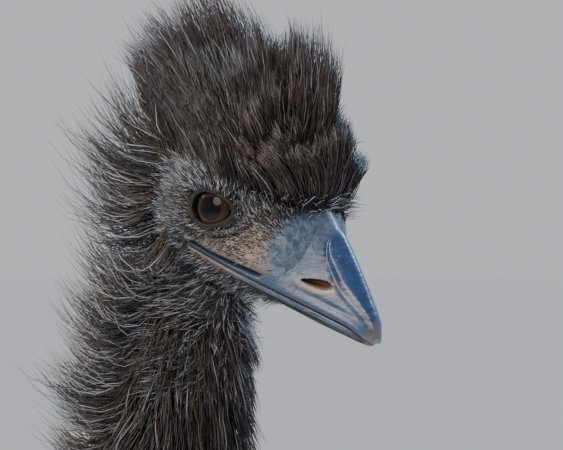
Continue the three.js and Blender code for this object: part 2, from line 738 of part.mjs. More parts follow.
// A toe along X with a flat sole and scutes over its top.
function toe({ length, half, tall, scutes }, room = 0) {
  const ringAt = (t) => {
    const taper = (1 - 0.38 * t) * (t > 0.98 ? 0.84 : 1);
    const height = tall * taper;
    const centre = vector(length * (1 - t), 0, height * 0.45);
    const ring = oval(centre, LEFT, UP, half * taper, height * 0.55, height * 0.55, 8, 2.3);
    return ring.map((p) => p.setZ(Math.max(p.z, 0)));
  };
  const fromTip = (t) => ringAt(t).map((p) => vector(length - p.x, p.y, p.z));
  return solid(scuted(scutes + 1, fromTip, UP, 1.6), room);
}

function claw({ length, half, claw: reach }, room = 0) {
  const curve = new THREE.QuadraticBezierCurve3(
    vector(length - 8, 0, 8),
    vector(length + reach * 0.6, 0, 10.5),
    vector(length + reach, 0, 2.6),
  );
  const root = half * 0.42;
  const halves = profile([[0, root, root], [0.5, root * 0.85, root * 0.9], [1, 1.2, 1.4]]);
  return solid(tube(curve, halves, 6, evenSteps(5)), room);
}

function footPad(room = 0) {
  const rings = [[0, 24, 22], [8, 27, 25], [20, 25, 22], [34, 20, 17]].map(([z, long, half]) =>
    oval(vector(0, 0, z), LEFT, FORWARD, half, long, long, 14),
  );
  return solid(skinOver(rings), room);
}

const turned = (body, degrees) => {
  const turn = new THREE.Matrix4().makeRotationZ(THREE.MathUtils.degToRad(degrees));
  return solid(geometryOf(body).applyMatrix4(turn));
};

function thighLocks(side, room = 0) {
  const draw = drawsFrom(83 + side);
  const line = thighLine(side);
  const level = levelOfTube(line, thighAt);
  const rows = [[0.66, 5, 130, 34], [0.47, 4, 115, 26], [0.29, 4, 90, 21]];
  return rows.flatMap(([place, count, length, half], row) =>
    Array.from({ length: count }, (_, i) => {
      const turn = (2 * Math.PI * (i + (row % 2) / 2)) / count + 0.1 * draw();
      const [wide, deep] = thighAt(place);
      const root = line.getPointAt(place);
      root.addScaledVector(LEFT, wide * Math.sin(turn)).addScaledVector(FORWARD, deep * Math.cos(turn));
      const heading = line.getTangentAt(place).negate().add(vector(-0.1 + 0.1 * draw(), 0.1 * draw(), 0));
      const full = length * (1 + 0.1 * draw());
      return combed({ root, heading, length: full, half, thick: 2.6, lift: 10, droop: 0.1, level, steps: 3 }, room);
    }),
  );
}

function leg(name, side) {
  const foot = new THREE.Group();
  foot.position.copy(footPlace(side));

  const shankLine = new THREE.LineCurve3(vector(-2, 0, 30), hockPlace(side).sub(foot.position));
  const shankAt = profile([
    [0, 16, 18],
    [0.1, 13.5, 15.5],
    [0.5, 11.5, 14.5],
    [0.88, 15, 19],
    [0.96, 19, 25],
    [1, 16, 20],
  ]);
  const shankRing = (t) => {
    const [half, deep] = shankAt(t);
    return oval(shankLine.getPointAt(t), LEFT, FORWARD, half, deep, deep, 8);
  };
  const shank = (room = 0) => solid(scuted(13, shankRing, FORWARD, 2), room);
  const thigh = join([solid(tube(thighLine(side), thighAt, 12, evenSteps(9))), ...thighLocks(side)]);
  const thighHere = solid(geometryOf(clearOf(thigh, torsoPlace)).translate(...foot.position.clone().negate()));

  foot.add(piece("drumstick_" + name, "plumage", thighHere.subtract(shank(GAP))));
  foot.add(piece("shank_" + name, "scales", shank().subtract(footPad(GAP))));
  foot.add(piece("foot_" + name, "scales", footPad()));
  const made = [];
  for (const [which, size] of Object.entries(TOES)) {
    const heading = side * (size.turn + 6);
    const cuts = [footPad(GAP), ...made];
    const body = cuts.reduce((whole, cut) => whole.subtract(cut), turned(toe(size), heading));
    foot.add(piece(`toe_${which}_${name}`, "scales", body));
    foot.add(piece(`claw_${which}_${name}`, "claw", turned(claw(size).subtract(toe(size, GAP)), heading)));
    made.push(turned(toe(size, GAP), heading));
  }
  return foot;
}

emu.add(leg("left", 1), leg("right", -1));

// The part's origin is the middle of its outline, on the floor.
const outline = new THREE.Box3().setFromObject(emu);
emu.position.set(-(outline.min.x + outline.max.x) / 2, -(outline.min.y + outline.max.y) / 2, -outline.min.z);

export default emu;
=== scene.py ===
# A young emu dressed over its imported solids: one skin, a horn bill, wet eyes, scaled legs and the plumage.
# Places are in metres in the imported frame: X runs forward, Y to the bird's left, Z up. Shapes are given in
# millimetres in the bird's own frame or in its head's frame, and turned into metres where they are placed.
import json
import math

import bpy
import numpy as np
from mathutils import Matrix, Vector
from mathutils.kdtree import KDTree

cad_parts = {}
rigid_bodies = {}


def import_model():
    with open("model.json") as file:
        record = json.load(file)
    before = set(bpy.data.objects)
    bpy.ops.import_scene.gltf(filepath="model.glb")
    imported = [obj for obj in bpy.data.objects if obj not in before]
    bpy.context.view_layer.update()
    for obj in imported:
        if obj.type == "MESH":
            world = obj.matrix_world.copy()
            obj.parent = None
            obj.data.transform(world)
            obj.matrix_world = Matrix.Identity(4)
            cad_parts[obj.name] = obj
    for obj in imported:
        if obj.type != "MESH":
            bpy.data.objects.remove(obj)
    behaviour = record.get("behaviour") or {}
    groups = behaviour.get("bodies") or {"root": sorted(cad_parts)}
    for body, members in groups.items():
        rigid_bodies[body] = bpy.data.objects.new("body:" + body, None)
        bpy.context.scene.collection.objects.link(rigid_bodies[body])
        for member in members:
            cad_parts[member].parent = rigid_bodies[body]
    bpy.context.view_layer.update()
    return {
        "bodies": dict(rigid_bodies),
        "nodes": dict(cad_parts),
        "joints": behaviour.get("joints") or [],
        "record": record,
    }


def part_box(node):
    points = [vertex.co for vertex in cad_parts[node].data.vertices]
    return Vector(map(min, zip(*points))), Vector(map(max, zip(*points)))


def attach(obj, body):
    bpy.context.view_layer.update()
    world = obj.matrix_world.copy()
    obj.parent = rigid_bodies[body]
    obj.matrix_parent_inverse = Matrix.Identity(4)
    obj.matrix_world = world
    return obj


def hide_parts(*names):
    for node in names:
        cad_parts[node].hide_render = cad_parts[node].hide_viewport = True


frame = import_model()

# Frames of the bird and of its head
MM = 0.001
EYE_FORWARD = 330  # of the eyes, ahead of the hips
EYE_HEIGHT = 1395
HEAD_PITCH = math.radians(26)
SIDES = {"left": 1, "right": -1}


def middle_of(node):
    low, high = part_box(node)
    return np.array((low + high) / 2)


HEAD = (middle_of("eye_left") + middle_of("eye_right")) / 2
BODY = HEAD - np.array([EYE_FORWARD, 0, EYE_HEIGHT]) * MM
HEAD_AXES = np.array([
    [math.cos(HEAD_PITCH), 0, -math.sin(HEAD_PITCH)],
    [0, 1, 0],
    [math.sin(HEAD_PITCH), 0, math.cos(HEAD_PITCH)],
])
FORWARD, LEFT, UP = np.eye(3)


def from_body(points):
    return BODY + np.asarray(points, float) * MM


def from_head(points):
    return HEAD + np.asarray(points, float) @ HEAD_AXES * MM


def into_body(points):
    return (np.asarray(points, float) - BODY) / MM


def into_head(points):
    return (np.asarray(points, float) - HEAD) / MM @ HEAD_AXES.T


def head_to_body(points):
    return into_body(from_head(points))


def unit(vectors):
    return vectors / np.maximum(np.linalg.norm(vectors, axis=-1, keepdims=True), 1e-9)


def dot(a, b):
    return (a * b).sum(-1, keepdims=True)


def eased(count):
    """Shares from 0 to 1, closer together near both ends."""
    return (1 - np.cos(math.pi * np.linspace(0, 1, count))) / 2


def smoothstep(value, low, high):
    share = np.clip((value - low) / (high - low), 0, 1)
    return share * share * (3 - 2 * share)


def mound(value, middle, spread):
    return np.exp(-(((value - middle) / spread) ** 2))


# Smooth curves through rows of [place, value, value...] that don't overshoot.
def profile(rows):
    rows = np.array(rows, float)
    places, values = rows[:, 0], rows[:, 1:]
    steps = np.diff(places)[:, None]
    secants = np.diff(values, axis=0) / steps
    before, after = secants[:-1], secants[1:]
    same = before * after > 0
    mean = np.where(same, 2 * before * after / np.where(same, before + after, 1), 0)
    slopes = np.vstack([secants[:1], mean, secants[-1:]])

    def at(place):
        place = np.clip(place, places[0], places[-1])
        i = np.clip(np.searchsorted(places, place, side="right") - 1, 0, len(steps) - 1)
        step = steps[i]
        t = (np.asarray(place)[..., None] - places[i][..., None]) / step
        ends = values[i] + (values[i + 1] - values[i]) * t * t * (3 - 2 * t)
        return ends + step * t * (1 - t) * ((1 - t) * slopes[i] - t * slopes[i + 1])

    return at


# A line through points: its place and heading at each share of its length.
def line_through(points):
    points = np.array(points, float)
    padded = np.vstack([2 * points[0] - points[1], points, 2 * points[-1] - points[-2]])
    runs = []
    for i in range(len(points) - 1):
        a, b, c, d = padded[i : i + 4]
        t = np.linspace(0, 1, 40, endpoint=i == len(points) - 2)[:, None]
        bend = (2 * b) + (c - a) * t + (2 * a - 5 * b + 4 * c - d) * t**2 + (3 * b - a - 3 * c + d) * t**3
        runs.append(bend / 2)
    path = np.vstack(runs)
    lengths = np.concatenate([[0], np.cumsum(np.linalg.norm(np.diff(path, axis=0), axis=1))])
    lengths = lengths / lengths[-1]
    headings = unit(np.gradient(path, lengths, axis=0))

    def at(share):
        share = np.clip(share, 0, 1)
        place = np.stack([np.interp(share, lengths, path[:, k]) for k in range(3)], -1)
        heading = np.stack([np.interp(share, lengths, headings[:, k]) for k in range(3)], -1)
        return place, unit(heading)

    return at


# Meshes
def mesh_piece(name, points, faces, finish=None, smooth=True):
    mesh = bpy.data.meshes.new(name)
    points = np.asarray(points, np.float32)
    faces = np.asarray(faces, np.int32)
    mesh.vertices.add(len(points))
    mesh.vertices.foreach_set("co", points.ravel())
    mesh.loops.add(faces.size)
    mesh.loops.foreach_set("vertex_index", faces.ravel())
    mesh.polygons.add(len(faces))
    mesh.polygons.foreach_set("loop_start", np.arange(0, faces.size, faces.shape[1], dtype=np.int32))
    mesh.polygons.foreach_set("use_smooth", np.full(len(faces), smooth))
    mesh.update(calc_edges=True)
    if finish:
        mesh.materials.append(finish)
    made = bpy.data.objects.new(name, mesh)
    bpy.context.scene.collection.objects.link(made)
    return made


def vectors_in(items, key):
    flat = np.empty(len(items) * 3, np.float32)
    items.foreach_get(key, flat)
    return flat.reshape(-1, 3).astype(float)


def coordinates(mesh):
    return vectors_in(mesh.vertices, "co")


def normals(mesh):
    return vectors_in(mesh.vertex_normals, "vector")


def set_coordinates(mesh, points):
    mesh.vertices.foreach_set("co", np.asarray(points, np.float32).ravel())
    mesh.update()


def applied(made):
    """The object with its modifiers made part of its mesh."""
    graph = bpy.context.evaluated_depsgraph_get()
    mesh = bpy.data.meshes.new_from_object(made.evaluated_get(graph))
    made.modifiers.clear()
    old, made.data = made.data, mesh
    bpy.data.meshes.remove(old)
    mesh.name = made.name
    return made


def facing_out(points, faces):
    """The faces of a closed body, turned round if they point inwards."""
    a, b, c = np.moveaxis(points[faces], 1, 0)
    volume = np.einsum("ij,ij->i", a, np.cross(b, c)).sum()
    return faces if volume > 0 else faces[:, ::-1]


# A closed skin over rings of points that match one for one, with a point in the middle of each end.
def loft(rings):
    rings = np.asarray(rings, float)
    count, sides = rings.shape[:2]
    points = np.vstack([rings.reshape(-1, 3), rings[0].mean(0), rings[-1].mean(0)])
    a = (np.arange(count - 1)[:, None] * sides + np.arange(sides)).ravel()
    b = (np.arange(count - 1)[:, None] * sides + (np.arange(sides) + 1) % sides).ravel()
    sheets = [np.stack([a, b, b + sides], 1), np.stack([a, b + sides, a + sides], 1)]
    rim = np.arange(sides)
    turned = (rim + 1) % sides
    last = (count - 1) * sides
    start = np.stack([np.full(sides, count * sides), turned, rim], 1)
    end = np.stack([np.full(sides, count * sides + 1), rim + last, turned + last], 1)
    return points, facing_out(points, np.vstack([*sheets, start, end]))


def joined(shapes):
    points, faces, shift = [], [], 0
    for some, their in shapes:
        points.append(some)
        faces.append(their + shift)
        shift += len(some)
    return np.vstack(points), np.vstack(faces)


def ovals(centres, across, up, half, top, bottom, sides, power=2):
    """Rings of half width, top and bottom round centres."""
    angle = 2 * math.pi * np.arange(sides) / sides
    cosine, sine = np.cos(angle), np.sin(angle)
    wide = np.sign(cosine) * np.abs(cosine) ** (2 / power)
    tall = np.sign(sine) * np.abs(sine) ** (2 / power)
    reach = np.where(tall > 0, np.asarray(top)[:, None], np.asarray(bottom)[:, None]) * tall
    spread = np.asarray(half)[:, None] * wide
    across, up = (np.broadcast_to(way, centres.shape)[:, None] for way in (across, up))
    return centres[:, None] + across * spread[..., None] + up * reach[..., None]


def tube(line, halves_at, sides, steps, inset=0):
    shares = eased(steps)
    centres, ahead = line(shares)
    half, deep = (halves_at(shares) - inset).T
    return loft(ovals(centres, LEFT, unit(np.cross(ahead, LEFT)), half, deep, deep, sides))


def sections(sizes_at, ends, steps, sides, inset=0, least=0):
    """A body in rounded sections along X, from rows of top, bottom and half width."""
    x = ends[0] + (ends[1] - ends[0]) * eased(steps)
    top, bottom, half = sizes_at(x).T
    centres = np.stack([x, 0 * x, (top + bottom) / 2], 1)
    deep = np.maximum((top - bottom) / 2 - inset, least)
    return loft(ovals(centres, LEFT, UP, np.maximum(half - inset, least), deep, deep, sides))


def ball(middle, radius, rings=48, sides=64):
    polar = math.pi * (np.arange(1, rings) / rings)
    turn = 2 * math.pi * np.arange(sides) / sides
    flat = np.sin(polar)[:, None]
    level = np.broadcast_to(np.cos(polar)[:, None], (rings - 1, sides))
    grid = np.stack([flat * np.cos(turn), level, flat * np.sin(turn)], -1)
    return loft(np.asarray(middle) + radius * grid)


# Body sizes, the same as the solids'
torso_at = profile([
    [-395, 862, 812, 22], [-372, 893, 756, 62], [-300, 936, 694, 120], [-180, 968, 650, 166],
    [-40, 976, 634, 182], [90, 955, 652, 168], [180, 920, 702, 126], [240, 878, 762, 68],
    [256, 846, 800, 22],
])
TORSO_ENDS = (-395, 256)
neck_line = line_through([
    [130, 0, 812], [205, 0, 892], [258, 0, 980], [279, 0, 1075], [281, 0, 1165], [283, 0, 1250],
    [289, 0, 1318], [301, 0, 1376],
])
neck_at = profile([
    [0, 88, 92], [0.16, 68, 72], [0.32, 46, 50], [0.5, 33, 36], [0.68, 27, 29], [0.85, 24, 26],
    [0.94, 22.5, 24], [1, 19, 20],
])
head_at = profile([
    [-50, 3, -8, 6], [-45, 12.5, -19, 17], [-34, 21.5, -29, 27], [-18, 27, -33, 33],
    [-2, 27.5, -33, 35], [12, 24.5, -31.5, 32], [24, 19, -29.5, 26], [34, 13, -28, 20],
    [40, 6, -26.5, 13],
])
HEAD_ENDS = (-50, 40)
tail_line = line_through([[-350, 0, 850], [-398, 0, 806], [-418, 0, 730]])
tail_at = profile([[0, 72, 48], [0.4, 66, 36], [0.8, 44, 22], [1, 14, 10]])
wing_at = profile([[0, 9, 15], [0.4, 8, 16], [0.8, 7, 12], [1, 4, 5]])
thigh_at = profile([[0, 16, 18], [0.2, 21, 26], [0.45, 36, 50], [0.75, 58, 86], [1, 70, 100]])
FOOT_BACK = 92  # of both feet's middle, behind the hips
FOOT_STEP = 16  # the left foot stands this much further back, and the right foot further forward
FOOT_ASIDE = 86
HOCK = np.array([-46, -8, 392])  # from the foot's centre, towards the bird's outside
KNEE = np.array([-8, 92, 735])  # from the floor below the hips


def mirrored(point, side):
    return np.array([point[0], point[1] * side, point[2]], float)


def foot_place(side):
    return np.array([-FOOT_BACK - side * FOOT_STEP, side * FOOT_ASIDE, 0.0])


def hock_place(side):
    return foot_place(side) + mirrored(HOCK, side)


def wing_line(side):
    rows = [[196, 106, 838], [120, 157, 800], [30, 177, 768], [-30, 178, 744]]
    return line_through([mirrored(row, side) for row in rows])


def thigh_line(side):
    knee, hock = mirrored(KNEE, side), hock_place(side)
    start = hock + np.array([2, 0, -6])
    return line_through([start, hock + (knee - hock) * 0.3, hock + (knee - hock) * 0.65, knee])


# Levels: how far points lie outside a body
def level_of_sections(sizes_at, ends):
    def level(p):
        x = np.clip(p[..., 0], *ends)
        top, bottom, half = np.moveaxis(sizes_at(x), -1, 0)
        up = p[..., 2] - (top + bottom) / 2
        share = np.hypot(p[..., 1] / half, 2 * up / (top - bottom))
        return np.hypot(p[..., 1], up) * (1 - 1 / np.maximum(share, 0.02)) + np.abs(p[..., 0] - x)

    return level


def level_of_tube(line, halves_at):
    shares = np.linspace(0, 1, 17)
    places = line(shares)[0]
    radii = halves_at(shares).mean(-1)

    def level(p):
        nearest = np.full(p.shape[:-1], np.inf)
        for a, b, near, far in zip(places, places[1:], radii, radii[1:]):
            run = b - a
            share = np.clip((p - a) @ run / (run @ run), 0, 1)
            away = np.linalg.norm(p - a - share[..., None] * run, axis=-1)
            nearest = np.minimum(nearest, away - near - (far - near) * share)
        return nearest

    return level


torso_level = level_of_sections(torso_at, TORSO_ENDS)
neck_level = level_of_tube(neck_line, neck_at)
head_level = level_of_sections(head_at, HEAD_ENDS)
tail_level = level_of_tube(tail_line, tail_at)
thigh_levels = [level_of_tube(thigh_line(side), thigh_at) for side in SIDES.values()]
wing_levels = [level_of_tube(wing_line(side), wing_at) for side in SIDES.values()]


def grown(level, by):
    """The level of a body made larger by a distance."""
    return lambda p: level(p) - by


def together(*levels):
    """The level of several bodies as one."""
    return lambda p: np.minimum.reduce([level(p) for level in levels])


def way_out(level, points):
    """The way straight out of a body at points near it, and how far outside it they lie."""
    rises = [level(points + axis / 2) - level(points - axis / 2) for axis in np.eye(3)]
    out = np.stack(rises, -1)
    steep = np.maximum(np.linalg.norm(out, axis=-1), 1e-6)
    return out / steep[..., None], level(points) / steep


# Bill sizes, in the head's frame
MOUTH = -20.5
GAPE = -8
BILL_TIP = 80
LOWER_BILL_TIP = 77.4
MOUTH_GAP = 0.5
upper_bill_at = profile([
    [GAPE, -18.2, 27.6], [12, -16.4, 25.2], [27, -14.6, 21.4], [30.5, 15.2, 20.2], [42, 9.6, 16.6],
    [56, 0.6, 12.2], [68, -8.4, 8.8], [76, -15.2, 6], [BILL_TIP - 0.8, -19.6, 3],
])
lower_bill_at = profile([
    [GAPE, -23, 26.6], [12, -25, 24.2], [30, -27.4, 19.2], [50, -27.4, 13], [66, -26.4, 8.4],
    [75, -25.6, 5], [LOWER_BILL_TIP, -25.2, 2.6],
])
plate_at = profile([[41, 2], [44, 6.6], [48, 8], [56, 7.8], [63, 6.8], [70, 5], [76, 3.4], [80, 2]])
NOSTRIL = np.array([50, 11.5, -10])
NOSTRIL_LEAN = math.radians(13)  # of its length, up at the front
NOSTRIL_HALVES = np.array([8.2, 4.6, 1.9])  # of its hollow, along, across and up
NOSTRIL_RIM = (9.5, 3.4)  # half the length and half the height of its dark opening
EYEBALL = 12.6  # radius
EYE_SIDE = 21.5
EYE_MIDDLE = LEFT * EYE_SIDE
LID_RADIUS = 14.0
EAR = np.array([-29, 22, -18])
EYE_OPENING = np.array([0.6, -0.4, 10.3, 6.4])  # its middle, half its length and half its height
EYE_TILT = math.radians(19)  # of its length, up at the front
EYE_RIM_POINTS = 72
EYE_CUT = [(22, 0.92), (32, 1), (48, 1.35)]  # distances out to the side, and the opening's size there
GAZE = (0.14, 0.99)  # forward, and out to the side


def hook(x):
    return -3 * (np.maximum(x - 66, 0) / (BILL_TIP - 66)) ** 2


def arch(x, floor, half, height, power, sides, wall=1.1):
    """Rings with a flat floor, a short upright wall and an arch above, or below for a negative height."""
    angle = math.pi * np.arange(sides + 1) / sides
    wide = np.sign(np.cos(angle)) * np.abs(np.cos(angle)) ** (2 / power)
    tall = np.sin(angle) ** (2 / power)
    edge = np.sign(height)[:, None] * wall
    y = half[:, None] * wide
    z = floor[:, None] + edge + (height[:, None] - edge) * tall
    floor_share = np.linspace(-1, 1, 12)
    y = np.hstack([y, half[:, None] * floor_share])
    z = np.hstack([z, np.broadcast_to(floor[:, None], (len(x), len(floor_share)))])
    return np.stack([np.broadcast_to(x[:, None], y.shape), y, z], -1)


def upper_bill():
    steps = np.concatenate([np.linspace(GAPE, 30.4, 40), np.linspace(30.8, BILL_TIP - 0.8, 110)])
    ridge, half = upper_bill_at(steps).T
    floor = MOUTH + hook(steps)
    points, faces = loft(arch(steps, floor, half, ridge - floor, 1.7, 96))
    x, y, z = points.T
    wide = plate_at(x)[:, 0]
    above = smoothstep(z - MOUTH - hook(x), 1.5, 4)
    horn = smoothstep(x, 31, 44) * above
    plate = smoothstep(x, 40, 44.5) * smoothstep(wide - np.abs(y), -0.4, 0.7) * above
    groove = smoothstep(x, 41, 46) * mound(np.abs(y), wide + 0.6, 0.7) * above
    keel = mound(np.abs(y), 0, 2.6) * smoothstep(x, 34, 46) * above
    band = mound(z, MOUTH + hook(x) + 4.6, 0.8) * smoothstep(x, 30, 40) * (1 - smoothstep(x, 64, 74))
    scoop = mound(x, 46, 11) * mound(z, -6, 6) * smoothstep(np.abs(y), 5, 9)
    out = 0.55 * plate - 0.55 * groove + 0.5 * keel - 0.45 * band - 1.1 * scoop - 0.5 * horn * (1 - plate)
    middle = np.stack([x, 0 * y, np.full_like(z, MOUTH + 2)], 1)
    away = unit(points - middle)
    points = points + away * (out * (np.abs(z - MOUTH - hook(x)) > 0.6))[:, None]
    return points, faces


def lower_bill():
    steps = np.linspace(GAPE, LOWER_BILL_TIP, 90)
    keel, half = lower_bill_at(steps).T
    lip = MOUTH - MOUTH_GAP + hook(steps)
    points, faces = loft(arch(steps, lip, half, keel - lip, 2.2, 64))
    x, y, z = points.T
    seam = mound(z, lip.mean() - 3.2, 0.6) * smoothstep(x, 26, 36)
    points[:, 1] -= np.sign(y) * 0.5 * seam
    return points, faces


# Head: rounded sections, drawn in round the eyes so that the lids stand out under the brow
def head_shape():
    points, faces = sections(head_at, HEAD_ENDS, 110, 120)
    x, _, z = points.T
    orbit = np.exp(-((x / 13.5) ** 2) - ((z + 0.5) / 11.5) ** 2)
    lore = mound(x, 20, 10) * mound(z, -4, 9)
    brow = mound(x, 2, 15) * mound(z, 13.5, 4.2)
    cheek = mound(x, 2, 16) * mound(z, -13.5, 4)
    jaw = mound(x, -24, 12) * mound(z, -22, 8)
    points[:, 1] *= 1 - 0.15 * orbit - 0.09 * lore + 0.05 * brow + 0.02 * cheek + 0.04 * jaw
    return points, faces


def tilted(x, z, tilt):
    """Distances along a line that rises to the front by a tilt, and over it."""
    return x * math.cos(tilt) + z * math.sin(tilt), z * math.cos(tilt) - x * math.sin(tilt)


def eye_share(points):
    """How far out points of the head's side lie from the middle of the eye: 1 at the rim of the lids."""
    along, over = tilted(points[:, 0] - EYE_OPENING[0], points[:, 2] - EYE_OPENING[1], EYE_TILT)
    return np.hypot(along / EYE_OPENING[2], over / EYE_OPENING[3])


def round_the_eye(turn, grow=1.0):
    """X and Z of places round the rim of the lids, a little pointed at the front corner."""
    along = EYE_OPENING[2] * grow * np.cos(turn)
    over = EYE_OPENING[3] * grow * np.sin(turn) * (1 - 0.13 * np.cos(turn))
    x = EYE_OPENING[0] + along * math.cos(EYE_TILT) - over * math.sin(EYE_TILT)
    return x, EYE_OPENING[1] + along * math.sin(EYE_TILT) + over * math.cos(EYE_TILT)


# Each length of skin: the side of its cells, and how often it is smoothed
HEAD_MESH = (0.95 * MM, 5)
BODY_MESH = (7.0 * MM, 4)
LEG_MESH = (2.5 * MM, 3)
PLUMAGE_DEPTH = 11  # how far the torso's skin lies inside its solid


def remeshed(name, shape, voxel, smoothing):
    """One closed skin round shapes that run into one another."""
    made = mesh_piece(name, *shape)
    voxels = made.modifiers.new("voxels", "REMESH")
    voxels.mode = "VOXEL"
    voxels.voxel_size = voxel
    voxels.use_smooth_shade = True
    soften = made.modifiers.new("soften", "SMOOTH")
    soften.factor = 0.5
    soften.iterations = smoothing
    return applied(made)


def combine(body, other, operation):
    cut = body.modifiers.new(operation.lower(), "BOOLEAN")
    cut.operation = operation
    cut.solver = "MANIFOLD"
    cut.object = other
    applied(body)
    bpy.data.objects.remove(other)
    return body


def folded_face(mesh):
    """The lids' rims, a pouch under each eye, creases, the ears' cups and the mouth's sunk corners."""
    points, out = coordinates(mesh), normals(mesh)
    head = into_head(points)
    x, y, z = head.T
    rim = eye_share(head)
    near = (np.abs(y) > 14) * (1 - smoothstep(np.abs(x), 24, 30)) * (1 - smoothstep(np.abs(z), 22, 27))
    below = smoothstep(-z, -3, 5)
    bead = mound(rim, 1.1, 0.12) * 0.55
    pouch = (mound(rim, 1.5, 0.15) * 0.8 - mound(rim, 1.3, 0.07) * 0.5 - mound(rim, 1.8, 0.1) * 0.7) * below
    crease = (mound(rim, 1.55, 0.16) * 0.4 - mound(rim, 1.34, 0.07) * 0.5) * (1 - below)
    wrinkle = 0.16 * np.sin(rim * 21 + 1.3 * np.sin(x * 0.4)) * mound(rim, 2, 0.5)
    ear = np.hypot((x - EAR[0]) / 5.2, (z - EAR[2]) / 6.6)
    cup = (mound(ear, 1, 0.22) * 1.5 - mound(ear, 0, 0.7) * 3.2) * (np.abs(y) > 12)
    lip = mound(z, MOUTH + 6.2, 1.6) * 0.5 * smoothstep(x, -6, 2) * (np.abs(y) > 10)
    gape = mound(z, MOUTH - 0.4, 3.6) * smoothstep(x, GAPE - 4, GAPE + 1) * (1 - smoothstep(x, 24, 34))
    sunk = -3.2 * gape * (np.abs(y) > 10)
    height = near * (bead + pouch + crease + wrinkle) + cup + lip + sunk
    set_coordinates(mesh, points + out * height[:, None] * MM)


def head_skin():
    """The skin of the head and of the top of the neck, with open lids over hollow sockets."""
    lids = [ball(EYE_MIDDLE * side, LID_RADIUS) for side in SIDES.values()]
    stub_line = line_through([neck_line(share)[0] for share in (0.86, 0.91, 0.96, 1)])
    stub_at = profile([[share, *(neck_at(0.86 + 0.14 * share) - 3.5)] for share in (0, 0.4, 0.8, 1)])
    stub = tube(stub_line, stub_at, 64, 30)
    shapes = [head_shape(), *lids]
    heads = [(from_head(points), faces) for points, faces in shapes]
    made = remeshed("skin", joined([*heads, (from_body(stub[0]), stub[1])]), *HEAD_MESH)
    folded_face(made.data)
    for side in SIDES.values():
        socket = ball(EYE_MIDDLE * side, EYEBALL + 0.15)
        combine(made, mesh_piece("socket", from_head(socket[0]), socket[1]), "DIFFERENCE")
        x, z = round_the_eye(-2 * math.pi * np.arange(EYE_RIM_POINTS) / EYE_RIM_POINTS)
        almond = np.stack([x, 0 * x, z], 1)
        hole = loft([almond * grow + LEFT * side * y for y, grow in EYE_CUT])
        combine(made, mesh_piece("opening", from_head(hole[0]), hole[1]), "DIFFERENCE")
    return made


# Legs
TOES = {
    "inner": {"turn": -28, "length": 82, "half": 12, "tall": 17, "scutes": 7, "claw": 21},
    "middle": {"turn": 2, "length": 124, "half": 15.5, "tall": 21, "scutes": 11, "claw": 28},
    "outer": {"turn": 33, "length": 84, "half": 12, "tall": 17, "scutes": 7, "claw": 21},
}
shank_at = profile([
    [0, 16, 18], [0.1, 13.5, 15.5], [0.5, 11.5, 14.5], [0.88, 15, 19], [0.96, 19, 25], [1, 16, 20],
])
SOLE = 0.3  # the skin's height over the floor
UNDER_SCUTES = 0.8  # how far the skin lies inside the shank's solid
LEG_SIDES = 32


def shank_line(side):
    foot, hock = foot_place(side), hock_place(side)
    return line_through([foot + [-2, 0, 30], (foot + hock) / 2 + [-1, 0, 15], hock])


def toe_heading(side, size):
    angle = math.radians(side * (size["turn"] + 6))
    return np.array([math.cos(angle), math.sin(angle), 0])


def toe_shape(side, size):
    ahead = toe_heading(side, size)
    across = np.array([-ahead[1], ahead[0], 0])
    t = np.linspace(0, 1, 70)
    taper = (1 - 0.38 * t) * np.sqrt(np.maximum(1 - (np.maximum(t - 0.93, 0) / 0.075) ** 2, 0.05))
    knuckles = 1 + 0.05 * np.cos(2 * math.pi * t * (size["scutes"] // 2))
    height = size["tall"] * taper * knuckles
    centres = foot_place(side) + ahead * (size["length"] * t)[:, None] + UP * (height * 0.45)[:, None]
    half = size["half"] * taper * knuckles
    rings = ovals(centres, across, UP, half, height * 0.55, height * 0.55, LEG_SIDES, 2.3)
    rings[..., 2] = np.maximum(rings[..., 2], SOLE)
    return loft(rings)


def foot_shape(side):
    rows = np.array([[SOLE, 24, 22], [8, 27, 25], [20, 25, 22], [34, 20, 17], [44, 16, 14]], float)
    centres = foot_place(side) + UP * rows[:, :1]
    return loft(ovals(centres, LEFT, FORWARD, rows[:, 2], rows[:, 1], rows[:, 1], LEG_SIDES))


def shank_shape(side):
    shares = np.linspace(0, 1, 60)
    half, deep = (shank_at(shares) - UNDER_SCUTES).T
    return loft(ovals(shank_line(side)(shares)[0], LEFT, FORWARD, half, deep, deep, LEG_SIDES))


# The skin of the body and of the legs, and the whole skin as one piece
def body_skin():
    shapes = [sections(torso_at, TORSO_ENDS, 60, 72, PLUMAGE_DEPTH, 8)]
    shapes += [tube(neck_line, neck_at, 48, 90, 4), tube(tail_line, tail_at, 40, 30, 5)]
    shapes += [tube(wing_line(side), wing_at, 24, 30, 1) for side in SIDES.values()]
    shapes += [tube(thigh_line(side), thigh_at, 40, 40, 5) for side in SIDES.values()]
    return remeshed("body", joined([(from_body(points), faces) for points, faces in shapes]), *BODY_MESH)


def legs_skin():
    shapes = []
    for side in SIDES.values():
        shapes += [shank_shape(side), foot_shape(side), *[toe_shape(side, size) for size in TOES.values()]]
    return remeshed("legs", joined([(from_body(points), faces) for points, faces in shapes]), *LEG_MESH)


def whole_skin():
    made = head_skin()
    combine(made, body_skin(), "UNION")
    return combine(made, legs_skin(), "UNION")


# Strands of plumage
STRAND_TAPER = profile([[0, 0.7], [0.2, 1], [0.55, 0.9], [0.85, 0.5], [1, 0.15]])
PATCH = 0.003  # side of each strand's patch on the unwrapped skin

# How many strands each coat has, beside the neck's two
STRANDS = {
    "crest": 10600,
    "cheeks": 8900,
    "nape": 4900,
    "back": 5600,
    "tail": 1900,
    "thigh": 2100,
    "lashes": 460,
    "forehead": 620,
}


